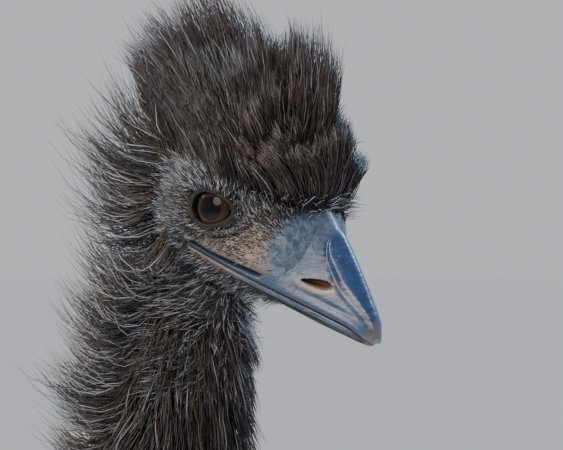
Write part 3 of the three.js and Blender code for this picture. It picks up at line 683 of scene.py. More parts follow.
def strand_faces(rings):
    """Faces of one three-sided strand, from its root's cap to its tip."""
    faces = [(0, 2, 1)]
    for ring in range(rings - 1):
        for corner in range(3):
            a, b = 3 * ring + corner, 3 * ring + (corner + 1) % 3
            faces += [(a, b, b + 3), (a, b + 3, a + 3)]
    last = 3 * (rings - 1)
    faces += [(last + corner, last + (corner + 1) % 3, last + 3) for corner in range(3)]
    return np.array(faces)


def add_attribute(mesh, name, values):
    values = np.asarray(values, np.float32)
    kind, key = ("FLOAT_VECTOR", "vector") if values.ndim == 2 else ("FLOAT", "value")
    mesh.attributes.new(name, kind, "POINT").data.foreach_set(key, values.ravel())


def bake_map(mesh, places):
    """The OFBake map, from each point's place on the unwrapped skin."""
    corners = np.empty(len(mesh.loops), np.int32)
    mesh.loops.foreach_get("vertex_index", corners)
    layer = mesh.uv_layers.new(name="OFBake")
    layer.data.foreach_set("uv", places[corners].astype(np.float32).ravel())


def strands(name, curves, out, half, thick, places, finish, draws):
    """Tapered strands through curves in millimetres of the body's frame, whose last stops are the tips."""
    count, stops = curves.shape[:2]
    ahead = unit(np.gradient(curves, axis=1))[:, :-1]
    across = unit(np.cross(ahead, out[:, None]))
    face = np.cross(across, ahead)
    share = np.linspace(0, 1, stops)
    taper = STRAND_TAPER(share[:-1])[:, 0]
    wide = across * (half[:, None] * taper)[..., None]
    deep = face * (thick[:, None] * taper)[..., None]
    base = curves[:, :-1]
    rings = np.stack([base + wide - deep / 2, base - wide - deep / 2, base + deep], 2)
    points = np.concatenate([rings.reshape(count, -1, 3), curves[:, -1:]], 1)
    each = points.shape[1]
    faces = strand_faces(stops - 1)[None] + (np.arange(count) * each)[:, None, None]
    made = mesh_piece(name, from_body(points.reshape(-1, 3)), faces.reshape(-1, 3), finish)
    reach = np.append(np.repeat(share[:-1], 3), 1)
    add_attribute(made.data, "reach", np.tile(reach, count))
    add_attribute(made.data, "shade", np.repeat(draws.random(count), each))
    turned = np.append(np.tile([-0.5, 0.5, 0], stops - 1), 0)
    patch = np.stack([turned, reach - 0.5], 1) * PATCH
    bake_map(made.data, (places[:, None] + patch[None]).reshape(-1, 2))
    return made


def sprung(root, way, length, stops):
    """Straight strands that stand up from their roots, and the share of its length at each of their stops."""
    share = np.linspace(0, 1, stops)[None, :, None]
    return root[:, None] + way[:, None] * share * length[:, None, None], share


def wrapped(turn, along):
    """Places on the unwrapped skin, from turns round it in radians and shares along it."""
    place = np.stack([turn / (2 * math.pi) + 0.5, along], 1)
    return 0.02 + 0.96 * np.clip(place, 0, 1)


def head_places(roots):
    x, y, z = into_head(from_body(roots)).T
    return wrapped(np.arctan2(y, z + 3), (x + 50) / 90)


def head_strands(name, curves, out, half, roots, finish, draws):
    """Strands with curves in the head's frame and roots in the body's."""
    return strands(name, head_to_body(curves), out @ HEAD_AXES, half, half, head_places(roots), finish, draws)


def nearest_of(roots, count, draws):
    """Some of the roots, chosen by lot, and which of these is the nearest to each root."""
    chosen = draws.choice(len(roots), count, replace=False)
    tree = KDTree(count)
    for i, strand in enumerate(chosen):
        tree.insert(roots[strand], i)
    tree.balance()
    nearest = np.array([tree.find(root)[1] for root in roots])
    return chosen, nearest


def clumped(curves, guides, pull, draws, power=1.6):
    """Strands drawn towards the nearest of some of their own number, most at the tips."""
    chosen, nearest = nearest_of(curves[:, 0], guides, draws)
    share = np.linspace(0, 1, curves.shape[1])[None, :, None] ** power
    guide = curves[chosen[nearest]]
    return curves + pull * share * (guide - curves)


def wavy(curves, size, draws):
    """Each strand bent a little its own way."""
    share = np.linspace(0, 1, curves.shape[1])[None, :, None]
    length = np.linalg.norm(curves[:, -1:] - curves[:, :1], axis=-1, keepdims=True)
    bend = draws.normal(size=(len(curves), 1, 3)) * size * length
    ripple = draws.normal(size=(len(curves), 1, 3)) * size * 0.5 * length
    return curves + bend * share**2 + ripple * np.sin(share * 5.5) * share


def combed(root, heading, length, lift, droop, level, steps, cling, depth=7):
    """Curves that run over a body along their headings and rise to their lifts at the tips."""
    out, away = way_out(level, root)
    point = root - out * (depth + away)[:, None]
    ahead = unit(heading - out * dot(heading, out))
    first = out
    stops = [point]
    for i in range(1, steps + 1):
        ahead = unit(ahead - UP * (droop / steps)[:, None])
        point = point + ahead * (length / steps)[:, None]
        out, away = way_out(level, point)
        short = -depth + (lift + depth) * (i / steps) ** 0.8 - away
        point = point + out * np.where(short > 0, short, short * cling)[:, None]
        ahead = unit(ahead - out * dot(ahead, out) * 0.8)
        stops.append(point)
    return np.stack(stops, 1), first


class Ground:
    """The skin's faces, which strands are sown on."""

    def __init__(self, mesh):
        mesh.calc_loop_triangles()
        corners = np.empty(len(mesh.loop_triangles) * 3, np.int32)
        mesh.loop_triangles.foreach_get("vertices", corners)
        corners = corners.reshape(-1, 3)
        self.corners = into_body(coordinates(mesh))[corners]
        self.out = normals(mesh)[corners]
        sides = self.corners[:, 1:] - self.corners[:, :1]
        self.areas = np.linalg.norm(np.cross(sides[:, 0], sides[:, 1]), axis=1) / 2
        self.centres = self.corners.mean(1)

    def sow(self, count, weights, draws):
        odds = self.areas * weights
        chosen = draws.choice(len(odds), count, p=odds / odds.sum())
        share = draws.random((count, 2))
        share = np.where(share.sum(1, keepdims=True) > 1, 1 - share, share)[..., None]
        a, b, c = np.moveaxis(self.corners[chosen], 1, 0)
        n, o, p = np.moveaxis(self.out[chosen], 1, 0)
        roots = a + (b - a) * share[:, 0] + (c - a) * share[:, 1]
        return roots, unit(n + (o - n) * share[:, 0] + (p - n) * share[:, 1])


# Crest
CREST = {"middle": np.array([-16, 0, 14]), "halves": np.array([40, 36, 29])}
CREST_TIPS = {"middle": np.array([-22, 0, 18]), "halves": np.array([60, 45, 63])}
CREST_AXIS = np.array([-0.39, 0, 0.92])
CREST_TUFTS = 150
BILL_ROOT = np.array([32, 0, -6])  # the feathers of the crown fan out from here


def crown_edge(head):
    """How far up the crown points of the head lie, from the line where its long feathers begin."""
    x, _, z = head.T
    return z - (10 + 4 * smoothstep(x, 0, 28) - 10 * smoothstep(-x, 24, 44))


def crown_share(head):
    """1 on the crown, 0 on the face, cheeks and bill."""
    front = 1 - smoothstep(head[:, 0], 29, 32)
    return smoothstep(crown_edge(head), -2.5, 2.5) * front * (head_level(head) < 6)


def crest_curves(ground, count, draws):
    head = into_head(from_body(ground.centres))
    weights = crown_share(head) * (0.4 + smoothstep(head[:, 0], -30, 20))
    roots, out = ground.sow(count, weights, draws)
    root = into_head(from_body(roots))
    radial = unit((root - CREST["middle"]) / CREST["halves"])
    fan = unit(root - BILL_ROOT)
    front = smoothstep(root[:, :1], 0, 22)
    aside = smoothstep(np.abs(root[:, 1:2]), 4, 16)
    edge = smoothstep(crown_edge(root), -2, 17)
    fan = fan * (0.45 + 0.5 * front + 0.5 * (1 - edge[:, None]) * (1 - front))
    upright = CREST_AXIS * (0.85 - 0.62 * front * aside - 0.25 * front)
    combed_back = np.array([-0.5, 0, 0.1]) * (1 - edge[:, None]) * (1 - front)
    swept = radial + upright + fan + combed_back + draws.normal(size=radial.shape) * 0.15
    swept = unit(swept * (1 + (0.9 * front - 0.05) * np.array([0, 1, 0])))
    outward = np.sign(root[:, 1:2])
    splay = np.array([0.6, 0, 0.42]) + outward * [0, 0.75, 0]
    forward = np.array([0.9, 0, 0.15]) * front * (1 - aside)
    rear = smoothstep(-root[:, :1], 4, 30)
    swept = unit(swept + 2.4 * front * aside * splay + forward + rear * np.array([-1.05, 0, -0.1]))
    tufts = nearest_of(root, CREST_TUFTS, draws)[1]
    length = 1.0 - 0.38 * draws.random(CREST_TUFTS)[tufts] + draws.normal(0, 0.06, count)
    full = 0.86 - (aside * front)[:, 0] * (0.24 - 0.42 * smoothstep(crown_edge(root), -2, 8))
    length = length * np.maximum(0.48 + 0.52 * edge, full * smoothstep(root[:, 0], 10, 25))
    length = length * (1 + 0.5 * rear[:, 0])
    stray = draws.random(count) < 0.09
    length = np.where(stray, length * draws.uniform(1, 1.3, count), length)[:, None]
    swept = unit(swept + stray[:, None] * draws.normal(size=radial.shape) * 0.32)
    reach = (swept * CREST_TIPS["halves"] + CREST_TIPS["middle"] - root) * length
    reach = reach + front * aside * (np.array([3, 0, 0]) + outward * [0, 9, 0])
    straight = np.linalg.norm(reach, axis=1, keepdims=True)
    way = reach / straight
    lead = np.array([0.8, 0, 0.5])
    bulge = (lead - way * dot(way, lead)) * (0.04 + 0.07 * front) * straight
    share = np.linspace(0, 1, 6)[None, :, None]
    curves = (root - 1.5 * way)[:, None] + reach[:, None] * share + bulge[:, None] * 4 * share * (1 - share)
    curves = clumped(curves, count // 16, 0.5, draws)
    curves = clumped(curves, 170, 0.62, draws, 2.2)
    curves = wavy(curves, 0.045, draws)
    return head_to_body(curves), roots, out


def grow_crest(ground, finish):
    draws = np.random.default_rng(3)
    curves, roots, out = crest_curves(ground, STRANDS["crest"], draws)
    halves = {name: roots[:, 1] * side > 0 for name, side in SIDES.items()}
    widths = {name: draws.uniform(0.17, 0.3, here.sum()) for name, here in halves.items()}
    made = []
    for name, here in halves.items():
        half = widths[name]
        parts = (curves[here], out[here], half, half * 1.2, head_places(roots[here]))
        made.append(strands(f"crest_{name}", *parts, finish, draws))
    return made


def head_lie(head):
    """Which way short feathers lie on the head: back from the bill, parted round each eye."""
    x, y, z = head.T
    rise = 0.45 * smoothstep(z, -4, 14) - 0.75 * smoothstep(-z, 8, 28)
    flow = np.stack([-np.ones_like(x), 0 * x, rise], 1)
    from_eye = np.stack([x - EYE_OPENING[0], 0 * x, z - EYE_OPENING[1]], 1)
    near = 1 - smoothstep(np.linalg.norm(from_eye, axis=1), 10, 24)
    return unit(flow + unit(from_eye) * (1.1 * near * (np.abs(y) > 12))[:, None])


def off_the_ear(head):
    """0 over the ear and just ahead of it, where no feathers grow."""
    return smoothstep(np.hypot((head[:, 0] - EAR[0] - 1.5) / 5, (head[:, 2] - EAR[2]) / 4), 0.8, 1.1)


def grow_cheeks(ground, finish):
    """The short dense feathers behind and below the eyes, longer towards the nape and the throat."""
    draws = np.random.default_rng(7)
    head = into_head(from_body(ground.centres))
    x, y, z = head.T
    face = smoothstep(x, -16, 2) * smoothstep(z, -23, -19) * (np.abs(y) > 8)
    weights = (1 - crown_share(head)) * (1 - 0.92 * face) * (x < 30) * (eye_share(head) > 1.5)
    weights *= (ground.centres[:, 2] > 1318) * (0.6 + 0.7 * smoothstep(x, -48, -14)) * off_the_ear(head)
    roots, out = ground.sow(STRANDS["cheeks"], weights, draws)
    root = into_head(from_body(roots))
    out = out @ HEAD_AXES.T
    back = smoothstep(-root[:, 0], 20, 52)
    under = smoothstep(-root[:, 2], 22, 36)
    lie = head_lie(root) + draws.normal(size=root.shape) * 0.24
    lie = unit(lie - out * dot(lie, out))
    rise = np.radians(24 + 16 * back + 16 * under + 12 * draws.normal(size=len(root)))[:, None]
    way = lie * np.cos(rise) + out * np.sin(rise)
    length = (4.2 + 13 * back + 8 * under * (1 - back)) * draws.uniform(0.7, 1.25, len(root))
    curves, share = sprung(root - out * 0.6, way, length, 5)
    sag = np.array([-0.25, 0, -0.3]) * (length * (0.2 + 0.5 * back))[:, None]
    curves = clumped(curves + sag[:, None] * share**2, 1900, 0.4, draws)
    curves = wavy(curves, 0.06, draws)
    half = 0.11 + 0.09 * back + 0.06 * draws.random(len(root))
    return head_strands("cheek_feathers", curves, out, half, roots, finish, draws)


def grow_nape(ground, finish):
    """Wispy feathers that stand off the back of the head and the top of the neck."""
    draws = np.random.default_rng(13)
    head = into_head(from_body(ground.centres))
    height = ground.centres[:, 2]
    back = np.maximum(smoothstep(-head[:, 0], 24, 44), 1.2 * smoothstep(EYE_HEIGHT - height, 4, 24))
    back *= smoothstep(head_to_body(np.zeros(3))[0] - ground.centres[:, 0], 20, 32)
    back *= smoothstep(height, 1265, 1330) * (1 - crown_share(head) * 0.3)
    back *= smoothstep(-ground.out[:, 0, 0], 0.12, 0.5)
    roots, out = ground.sow(STRANDS["nape"], back, draws)
    rear = smoothstep(-out[:, 0], -0.3, 0.8)
    high = smoothstep(roots[:, 2] - EYE_HEIGHT, -40, 25)
    lift = np.stack([-0.35 + 0 * high, 0 * high, -0.8 + 0.75 * high], 1)
    way = unit(out * (0.85 + 0.3 * draws.random((len(out), 1))) + lift + draws.normal(size=out.shape) * 0.18)
    length = (20 + 28 * rear - 8 * high) * draws.uniform(0.5, 1.2, len(roots))
    curves, share = sprung(roots - out, way, length, 6)
    curl = 0.5 * share**3 - 0.3 * share * (1 - share)
    curves = curves + UP * curl * length[:, None, None]
    curves = wavy(clumped(clumped(curves, 480, 0.5, draws), 150, 0.68, draws, 1.4), 0.09, draws)
    half = draws.uniform(0.14, 0.26, len(roots))
    return strands("nape_feathers", curves, out, half, half, head_places(roots), finish, draws)


# Neck: spans of its line, and rows of the strands' lengths, half widths and lifts at places along it
NECK_COATS = {
    "neck_feathers_upper": {
        "span": (0.645, 0.965),
        "count": 6600,
        "steps": 5,
        "rows": [[0.64, 46, 0.55, 12], [0.97, 27, 0.26, 7]],
    },
    "neck_feathers_lower": {
        "span": (0.12, 0.66),
        "count": 5200,
        "steps": 4,
        "rows": [[0.12, 125, 2.2, 3], [0.28, 100, 1.8, 7], [0.66, 52, 0.8, 12]],
    },
}
NECK_TORSO_GAP = 7  # how far outside the torso's solid the neck's feathers pass


def grow_neck(name, finish):
    coat = NECK_COATS[name]
    draws = np.random.default_rng(coat["count"])
    t = draws.uniform(*coat["span"], coat["count"]) + draws.normal(0, 0.04, coat["count"])
    t = np.clip(t, 0.09, 0.968)
    turn = draws.uniform(-math.pi, math.pi, len(t))
    place, along = neck_line(t)
    back = unit(np.cross(-along, LEFT))
    wide, deep = neck_at(t).T
    root = place + LEFT * (wide * np.sin(turn))[:, None] - back * (deep * np.cos(turn))[:, None]
    length, half, lift = profile(coat["rows"])(t).T
    behind = np.maximum(0, -unit(root - place)[:, 0]) ** 2
    high = smoothstep(t, 0.5, 0.8)
    stray = draws.random(len(t)) ** 2
    lift = lift * (0.5 + draws.random(len(t))) + behind * high * 30 * stray
    foot = (1 - smoothstep(t, 0.12, 0.36))[:, None]
    heading = -along + foot * np.array([-0.9, 0, 0])
    heading = heading + draws.normal(size=root.shape) * np.array([0.12, 0.12, 0.05])
    length = length * draws.uniform(0.75, 1.15, len(t))
    level = together(neck_level, grown(torso_level, NECK_TORSO_GAP))
    keep = torso_level(root) > 2
    droop = np.full(len(t), 0.1)
    parts = [values[keep] for values in (root, heading, length, lift, droop)]
    curves, out = combed(*parts, level, coat["steps"], 0.6)
    curves = wavy(clumped(curves, int(len(curves) / 14), 0.5, draws), 0.035, draws)
    places = wrapped(turn[keep], t[keep])
    half = half[keep] * draws.uniform(0.8, 1.2, keep.sum())
    return strands(name, curves, out, half, half * 0.5 + 0.1, places, finish, draws)


# Body plumage: loose, drooping plumes, parted along the spine
def grow_torso(ground, name, side, finish):
    draws = np.random.default_rng(29 + side)
    centres = ground.centres
    surface = together(torso_level, *wing_levels)(centres)
    on_torso = (surface < 4) * (neck_level(centres) > 4) * (centres[:, 2] > 640)
    below = smoothstep(-ground.out[:, 0, 2], 0.2, 0.8)
    weights = on_torso * (centres[:, 1] * side > -2) * (1.15 - 0.5 * below)
    weights *= 1 + 0.9 * smoothstep(-centres[:, 0], 290, 370)
    root, out = ground.sow(STRANDS["back"], weights, draws)
    x, y, z = root.T
    aside = side * 0.42 * smoothstep(np.abs(y), 2, 70)
    rear = smoothstep(-x, 300, 385)
    under = smoothstep(-out[:, 2], 0.2, 0.8)
    down = -0.25 - 0.4 * smoothstep(np.abs(y), 5, 80) - 0.5 * rear
    heading = np.stack([-0.8 + 0.5 * rear, aside, down], 1)
    heading += draws.normal(size=root.shape) * 0.14
    front = smoothstep(x, 60, 240)
    loose = smoothstep(-x, 150, 320)
    length = (225 - 95 * front - 90 * under - 50 * rear) * draws.uniform(0.62, 1.08, len(x))
    near_neck = 1 - smoothstep(neck_level(root), 5, 90)
    lift = (12 + 7 * smoothstep(np.abs(y), 20, 90)) * (1 - 0.8 * near_neck) * draws.uniform(0.3, 1.2, len(x))
    beside = [*wing_levels, *thigh_levels, tail_level]
    level = together(torso_level, *[grown(over, 3) for over in beside])
    droop, cling = 0.35 + 0.6 * loose, 0.6 - 0.45 * loose
    curves, first = combed(root, heading, length, lift, droop, level, 5, cling, depth=3)
    curves = wavy(clumped(curves, 420, 0.5, draws), 0.025, draws)
    half = draws.uniform(1.5, 2.8, len(x))
    places = wrapped(np.arctan2(y, z - 880), (x + 400) / 660)
    return strands(name, curves, first, half, half * 0.25, places, finish, draws)


def grow_tail(finish):
    draws = np.random.default_rng(41)
    count = STRANDS["tail"]
    t = draws.uniform(0.12, 0.85, count)
    turn = draws.uniform(-2.2, 2.2, count)
    place, along = tail_line(t)
    back = unit(np.cross(-along, LEFT))
    wide, deep = tail_at(t).T
    root = place + LEFT * (wide * np.sin(turn))[:, None] - back * (deep * np.cos(turn))[:, None]
    heading = np.stack([np.full(count, -0.5), 0.4 * np.sin(turn), np.full(count, -0.8)], 1)
    heading += draws.normal(size=root.shape) * 0.12
    length = draws.uniform(120, 185, count)
    lift = draws.uniform(2, 11, count)
    level = together(tail_level, torso_level)
    curves, out = combed(root, heading, length, lift, np.full(count, 0.9), level, 5, 0.3)
    curves = wavy(clumped(curves, 120, 0.5, draws), 0.02, draws)
    half = draws.uniform(1.4, 2.4, count)
    return strands("tail_plumes", curves, out, half, half * 0.25, wrapped(turn, t), finish, draws)


def grow_thigh(name, side, finish):
    draws = np.random.default_rng(53 + side)
    count = STRANDS["thigh"]
    t = draws.uniform(0.12, 0.86, count)
    turn = draws.uniform(-math.pi, math.pi, count)
    line = thigh_line(side)
    place, along = line(t)
    wide, deep = thigh_at(t).T
    root = place + LEFT * (wide * np.sin(turn))[:, None] + FORWARD * (deep * np.cos(turn))[:, None]
    heading = -along + np.array([-0.1, 0, 0]) + draws.normal(size=root.shape) * 0.1
    length = (60 + 60 * t) * draws.uniform(0.75, 1.1, count)
    keep = torso_level(root) > -4
    level = together(level_of_tube(line, thigh_at), grown(torso_level, -4))
    lift, droop = draws.uniform(3, 11, count), np.full(count, 0.1)
    parts = [values[keep] for values in (root, heading, length, lift, droop)]
    curves, out = combed(*parts, level, 4, 0.6)
    curves = wavy(clumped(curves, 140, 0.45, draws), 0.02, draws)
    half = draws.uniform(1.1, 2, keep.sum())
    return strands(name, curves, out, half, half * 0.3, wrapped(turn[keep], t[keep]), finish, draws)


def grow_lashes(finish):
    """Bristles round the rims of the lids."""
    draws = np.random.default_rng(61)
    count = STRANDS["lashes"]
    turn = draws.uniform(0, 2 * math.pi, count)
    side = draws.choice([-1.0, 1.0], count)
    upper = smoothstep(np.sin(turn), -0.2, 0.4)
    x, z = round_the_eye(turn, draws.uniform(1.1, 1.24, count))
    deep = np.sqrt(LID_RADIUS**2 - x**2 - z**2)
    root = np.stack([x, side * (EYE_SIDE + deep), z], 1)
    out = unit(root - np.stack([0 * x, side * EYE_SIDE, 0 * x], 1))
    aside = np.stack([np.cos(turn), 0 * turn, np.sin(turn)], 1)
    way = unit(aside * 0.8 + out * 0.75 + draws.normal(size=root.shape) * 0.12)
    length = (1.1 + 2.6 * upper) * draws.uniform(0.6, 1.2, count)
    curves, share = sprung(root - out * 0.5, way, length, 4)
    curves = curves + (aside * length[:, None])[:, None] * 0.3 * share**2
    return head_strands("lashes", curves, out, np.full(count, 0.1), head_to_body(root), finish, draws)


def grow_forehead(ground, finish):
    """Longer bristles that stand out along the front edge of the crown."""
    draws = np.random.default_rng(67)
    head = into_head(from_body(ground.centres))
    edge = mound(crown_edge(head), 0, 3.5) * smoothstep(head[:, 0], 4, 20) * (head[:, 0] < 33)
    roots, out = ground.sow(STRANDS["forehead"], edge * (head_level(head) < 6), draws)
    root = into_head(from_body(roots))
    out = out @ HEAD_AXES.T
    way = out * 0.9 + head_lie(root) * 0.25 + np.array([0.15, 0, -0.05])
    way = unit(way + draws.normal(size=out.shape) * 0.2)
    length = draws.uniform(5, 13, len(root))
    curves, share = sprung(root - out * 0.5, way, length, 6)
    curves = wavy(curves + np.array([0.1, 0, -0.2]) * share**2 * length[:, None, None], 0.06, draws)
    half = draws.uniform(0.09, 0.15, len(root))
    return head_strands("forehead_bristles", curves, out, half, roots, finish, draws)


# Nodes: wired makes one in any tree, and Tree builds the Geometry Nodes of bristles and scutes
def wired(tree, kind, settings, inputs):
    """A new node with its settings made, and each input linked to a socket or set to a value."""
    made = tree.nodes.new(kind)
    for key, value in dict(settings).items():
        setattr(made, key, value)
    for key, value in dict(inputs).items():
        if isinstance(value, bpy.types.NodeSocket):
            tree.links.new(value, made.inputs[key])
        else:
            made.inputs[key].default_value = value
    return made


class Tree:
    """Makes one Geometry Nodes tree."""

    def __init__(self, name, inputs):
        self.tree = bpy.data.node_groups.new(name, "GeometryNodeTree")
        face = self.tree.interface
        for label, (kind, value) in inputs.items():
            socket = face.new_socket(label, in_out="INPUT", socket_type="NodeSocket" + kind)
            if value is not None:
                socket.default_value = value
        face.new_socket("Geometry", in_out="OUTPUT", socket_type="NodeSocketGeometry")
        self.given = self.tree.nodes.new("NodeGroupInput").outputs

    def node(self, kind, settings=(), inputs=(), output=0):
        return wired(self.tree, kind, settings, inputs).outputs[output]

    def attribute(self, name, kind="FLOAT"):
        return self.node("GeometryNodeInputNamedAttribute", {"data_type": kind}, {"Name": name})

    def stored(self, geometry, name, value, kind="FLOAT"):
        settings = {"data_type": kind, "domain": "POINT"}
        given = {"Geometry": geometry, "Name": name, "Value": value}
        return self.node("GeometryNodeStoreNamedAttribute", settings, given)

    def random(self, low, high, seed):
        """Random numbers, or random vectors between two of them."""
        kind, output = ("FLOAT_VECTOR", 0) if isinstance(low, tuple) else ("FLOAT", 1)
        given = {"Min": low, "Max": high, "Seed": seed}
        return self.node("FunctionNodeRandomValue", {"data_type": kind}, given, output)

    def product(self, a, b):
        return self.node("ShaderNodeMath", {"operation": "MULTIPLY"}, {0: a, 1: b})

    def planted(self, points, original, turn, size):
        """The finished tree, whose result is a copy of the original on each point, in the given finish."""
        copied = self.node("GeometryNodeObjectInfo", {}, {"Object": original}, "Geometry")
        given = {"Points": points, "Instance": copied, "Rotation": turn, "Scale": size}
        placed = self.node("GeometryNodeInstanceOnPoints", {}, given)
        real = self.node("GeometryNodeRealizeInstances", {}, {"Geometry": placed})
        looks = {"Geometry": real, "Material": self.given["Finish"]}
        result = self.node("GeometryNodeSetMaterial", {}, looks)
        end = self.tree.nodes.new("NodeGroupOutput")
        self.tree.links.new(result, end.inputs[0])
        return self.tree


def spread_with(made, tree, values):
    """The object with the tree's result made its mesh. Values are set by the names of the tree's inputs."""
    spread = made.modifiers.new(tree.name, "NODES")
    spread.node_group = tree
    for item in tree.interface.items_tree:
        if item.in_out == "INPUT" and item.name in values:
            spread[item.identifier] = values[item.name]
    return applied(made)


def bristle_tree():
    inputs = {
        "Geometry": ("Geometry", None),
        "Bristle": ("Object", None),
        "Per square metre": ("Float", 1e6),
        "Thickness": ("Float", 1.0),
        "Finish": ("Material", None),
    }
    tree = Tree("bristles", inputs)
    given = tree.given
    dense = tree.product(given["Per square metre"], tree.attribute("cover"))
    settings = {"distribute_method": "RANDOM"}
    scattered = {"Mesh": given["Geometry"], "Density": dense, "Seed": 17}
    points = tree.node("GeometryNodeDistributePointsOnFaces", settings, scattered)
    points = tree.stored(points, "root", tree.node("GeometryNodeInputPosition"), "FLOAT_VECTOR")
    points = tree.stored(points, "shade", tree.random(0.0, 1.0, 5))
    jitter = tree.random((-0.3, -0.3, -0.3), (0.3, 0.3, 0.3), 9)
    leaning = {0: tree.attribute("way", "FLOAT_VECTOR"), 1: jitter}
    way = tree.node("ShaderNodeVectorMath", {"operation": "ADD"}, leaning)
    turn = tree.node("FunctionNodeAlignRotationToVector", {"axis": "Z"}, {"Vector": way})
    tall = tree.product(tree.attribute("tall"), tree.random(0.7, 1.3, 21))
    thick = given["Thickness"]
    size = tree.node("ShaderNodeCombineXYZ", {}, {"X": thick, "Y": thick, "Z": tall})
    return tree.planted(points, given["Bristle"], turn, size)


def bristle_seed():
    """One bristle a millimetre long."""
    foot = np.array([[1, 0, 0], [-0.5, 0.87, 0], [-0.5, -0.87, 0]]) * 0.14 + np.array([0, 0, -0.15])
    points = np.vstack([foot, [0.16, 0, 1.0]]) * MM
    made = mesh_piece("bristle", points, facing_out(points, strand_faces(1)))
    add_attribute(made.data, "reach", [0, 0, 0, 1])
    return made


BRISTLES_PER_SQUARE_METRE = 1.9e6


def grow_bristles(skin, finish):
    """Sparse black bristles over the lores, round the eyes, along the jaw and on the chin."""
    field = skin.copy()
    field.data = skin.data.copy()
    field.name = "face_bristles"
    bpy.context.scene.collection.objects.link(field)
    head = into_head(coordinates(field.data))
    out = normals(field.data) @ HEAD_AXES.T
    x, _, z = head.T
    inside = (head_level(head) < 5) * (x < 40)
    face = smoothstep(x, -24, -8) * (1 - smoothstep(x, 27, 34)) * (eye_share(head) > 1.14)
    face = face * (z > MOUTH + 5.4 - 20 * (x < GAPE - 1))
    jaw = smoothstep(x, -14, 0) * (z < MOUTH - 4)
    near_eye = 1 - smoothstep(eye_share(head), 1.3, 2.4)
    upper = smoothstep(z, -2, 10)
    lores = smoothstep(z, -7, 3) * (1 - smoothstep(x, 26, 32))
    bare = smoothstep(x, 14, 30) * (1 - lores)
    dense = 1.15 + 0.5 * upper + 0.4 * near_eye + 0.5 * lores
    cover = inside * (face * dense * (1 - 0.8 * bare) + 0.8 * jaw)
    lie = head_lie(head)
    lie = unit(lie - out * dot(lie, out))
    rise = 0.42 + 0.25 * jaw
    way = (unit(lie + out * rise[:, None])) @ HEAD_AXES
    tall = 2.1 + 1.8 * smoothstep(-x, -12, 16) + 3.0 * jaw * smoothstep(-z, 26, 31) + 2.2 * upper
    add_attribute(field.data, "cover", cover)
    add_attribute(field.data, "tall", tall)
    add_attribute(field.data, "way", way)
    seed = bristle_seed()
    given = {
        "Bristle": seed,
        "Per square metre": BRISTLES_PER_SQUARE_METRE,
        "Thickness": 1.1,
        "Finish": finish,
    }
    made = spread_with(field, bristle_tree(), given)
    bpy.data.objects.remove(seed)
    root = vectors_in(made.data.attributes["root"].data, "vector")
    reach = np.empty(len(made.data.vertices), np.float32)
    made.data.attributes["reach"].data.foreach_get("value", reach)
    places = head_places(into_body(root))
    aside = np.resize([-0.5, 0.5, 0.2, 0], len(reach))
    bake_map(made.data, places + np.stack([aside, reach - 0.5], 1) * PATCH)
    return made


def scute_tree():
    inputs = {
        "Geometry": ("Geometry", None),
        "Plate": ("Object", None),
        "Overlap": ("Float", 1.0),
        "Finish": ("Material", None),
    }
    tree = Tree("scutes", inputs)
    given = tree.given
    points = tree.node("GeometryNodeMeshToPoints", {}, {"Mesh": given["Geometry"]})
    axes = {
        "Primary Axis": tree.attribute("facing", "FLOAT_VECTOR"),
        "Secondary Axis": tree.attribute("along", "FLOAT_VECTOR"),
    }
    turn = tree.node("FunctionNodeAxesToRotation", {"primary_axis": "Z", "secondary_axis": "Y"}, axes)
    longer = tree.node("ShaderNodeCombineXYZ", {}, {"X": 1.0, "Y": given["Overlap"], "Z": 1.0})
    sizes = {0: tree.attribute("size", "FLOAT_VECTOR"), 1: longer}
    size = tree.node("ShaderNodeVectorMath", {"operation": "MULTIPLY"}, sizes)
    return tree.planted(points, given["Plate"], turn, size)


PLATE_ROWS, PLATE_COLUMNS = 4, 9
PLATE_WRAP = 1.15  # how far round its middle each side of a scute reaches, in radians
PLATE_SPREAD = 0.913  # the sine of its wrap
PLATE_THICKNESS = 0.08


def plate_seed():
    """One scute, two metres across and one along, wrapped back at its sides and lifted at its lower edge."""
    u, v = np.meshgrid(np.linspace(-1, 1, PLATE_COLUMNS), np.linspace(-0.5, 0.5, PLATE_ROWS))
    wide = np.sin(u * PLATE_WRAP) / PLATE_SPREAD
    long = v * (0.35 + 0.65 * np.sqrt(1 - np.abs(u) ** 5))
    high = np.cos(u * PLATE_WRAP) - 1 + 0.05 * (1 - (2 * v) ** 2) + 0.04 * (v < -0.4)
    points = np.stack([np.stack([wide, long, high - under], -1) for under in (0, PLATE_THICKNESS)])
    count = PLATE_ROWS * PLATE_COLUMNS
    top = np.arange(count).reshape(PLATE_ROWS, PLATE_COLUMNS)
    a, b, c, d = (part.ravel() for part in (top[:-1, :-1], top[:-1, 1:], top[1:, 1:], top[1:, :-1]))
    sheet = np.vstack([np.stack([a, b, c], 1), np.stack([a, c, d], 1)])
    rim = np.concatenate([top[0], top[1:, -1], top[-1, -2::-1], top[-2:0:-1, 0]])
    after = np.roll(rim, -1)
    wall = [np.stack([after, rim, rim + count], 1), np.stack([after, rim + count, after + count], 1)]
    return mesh_piece("plate", points.reshape(-1, 3), np.vstack([sheet, sheet[:, ::-1] + count, *wall]))


SHANK_SCUTES = 25
SHANK_LENGTH = 355  # from the top of the foot to the hock


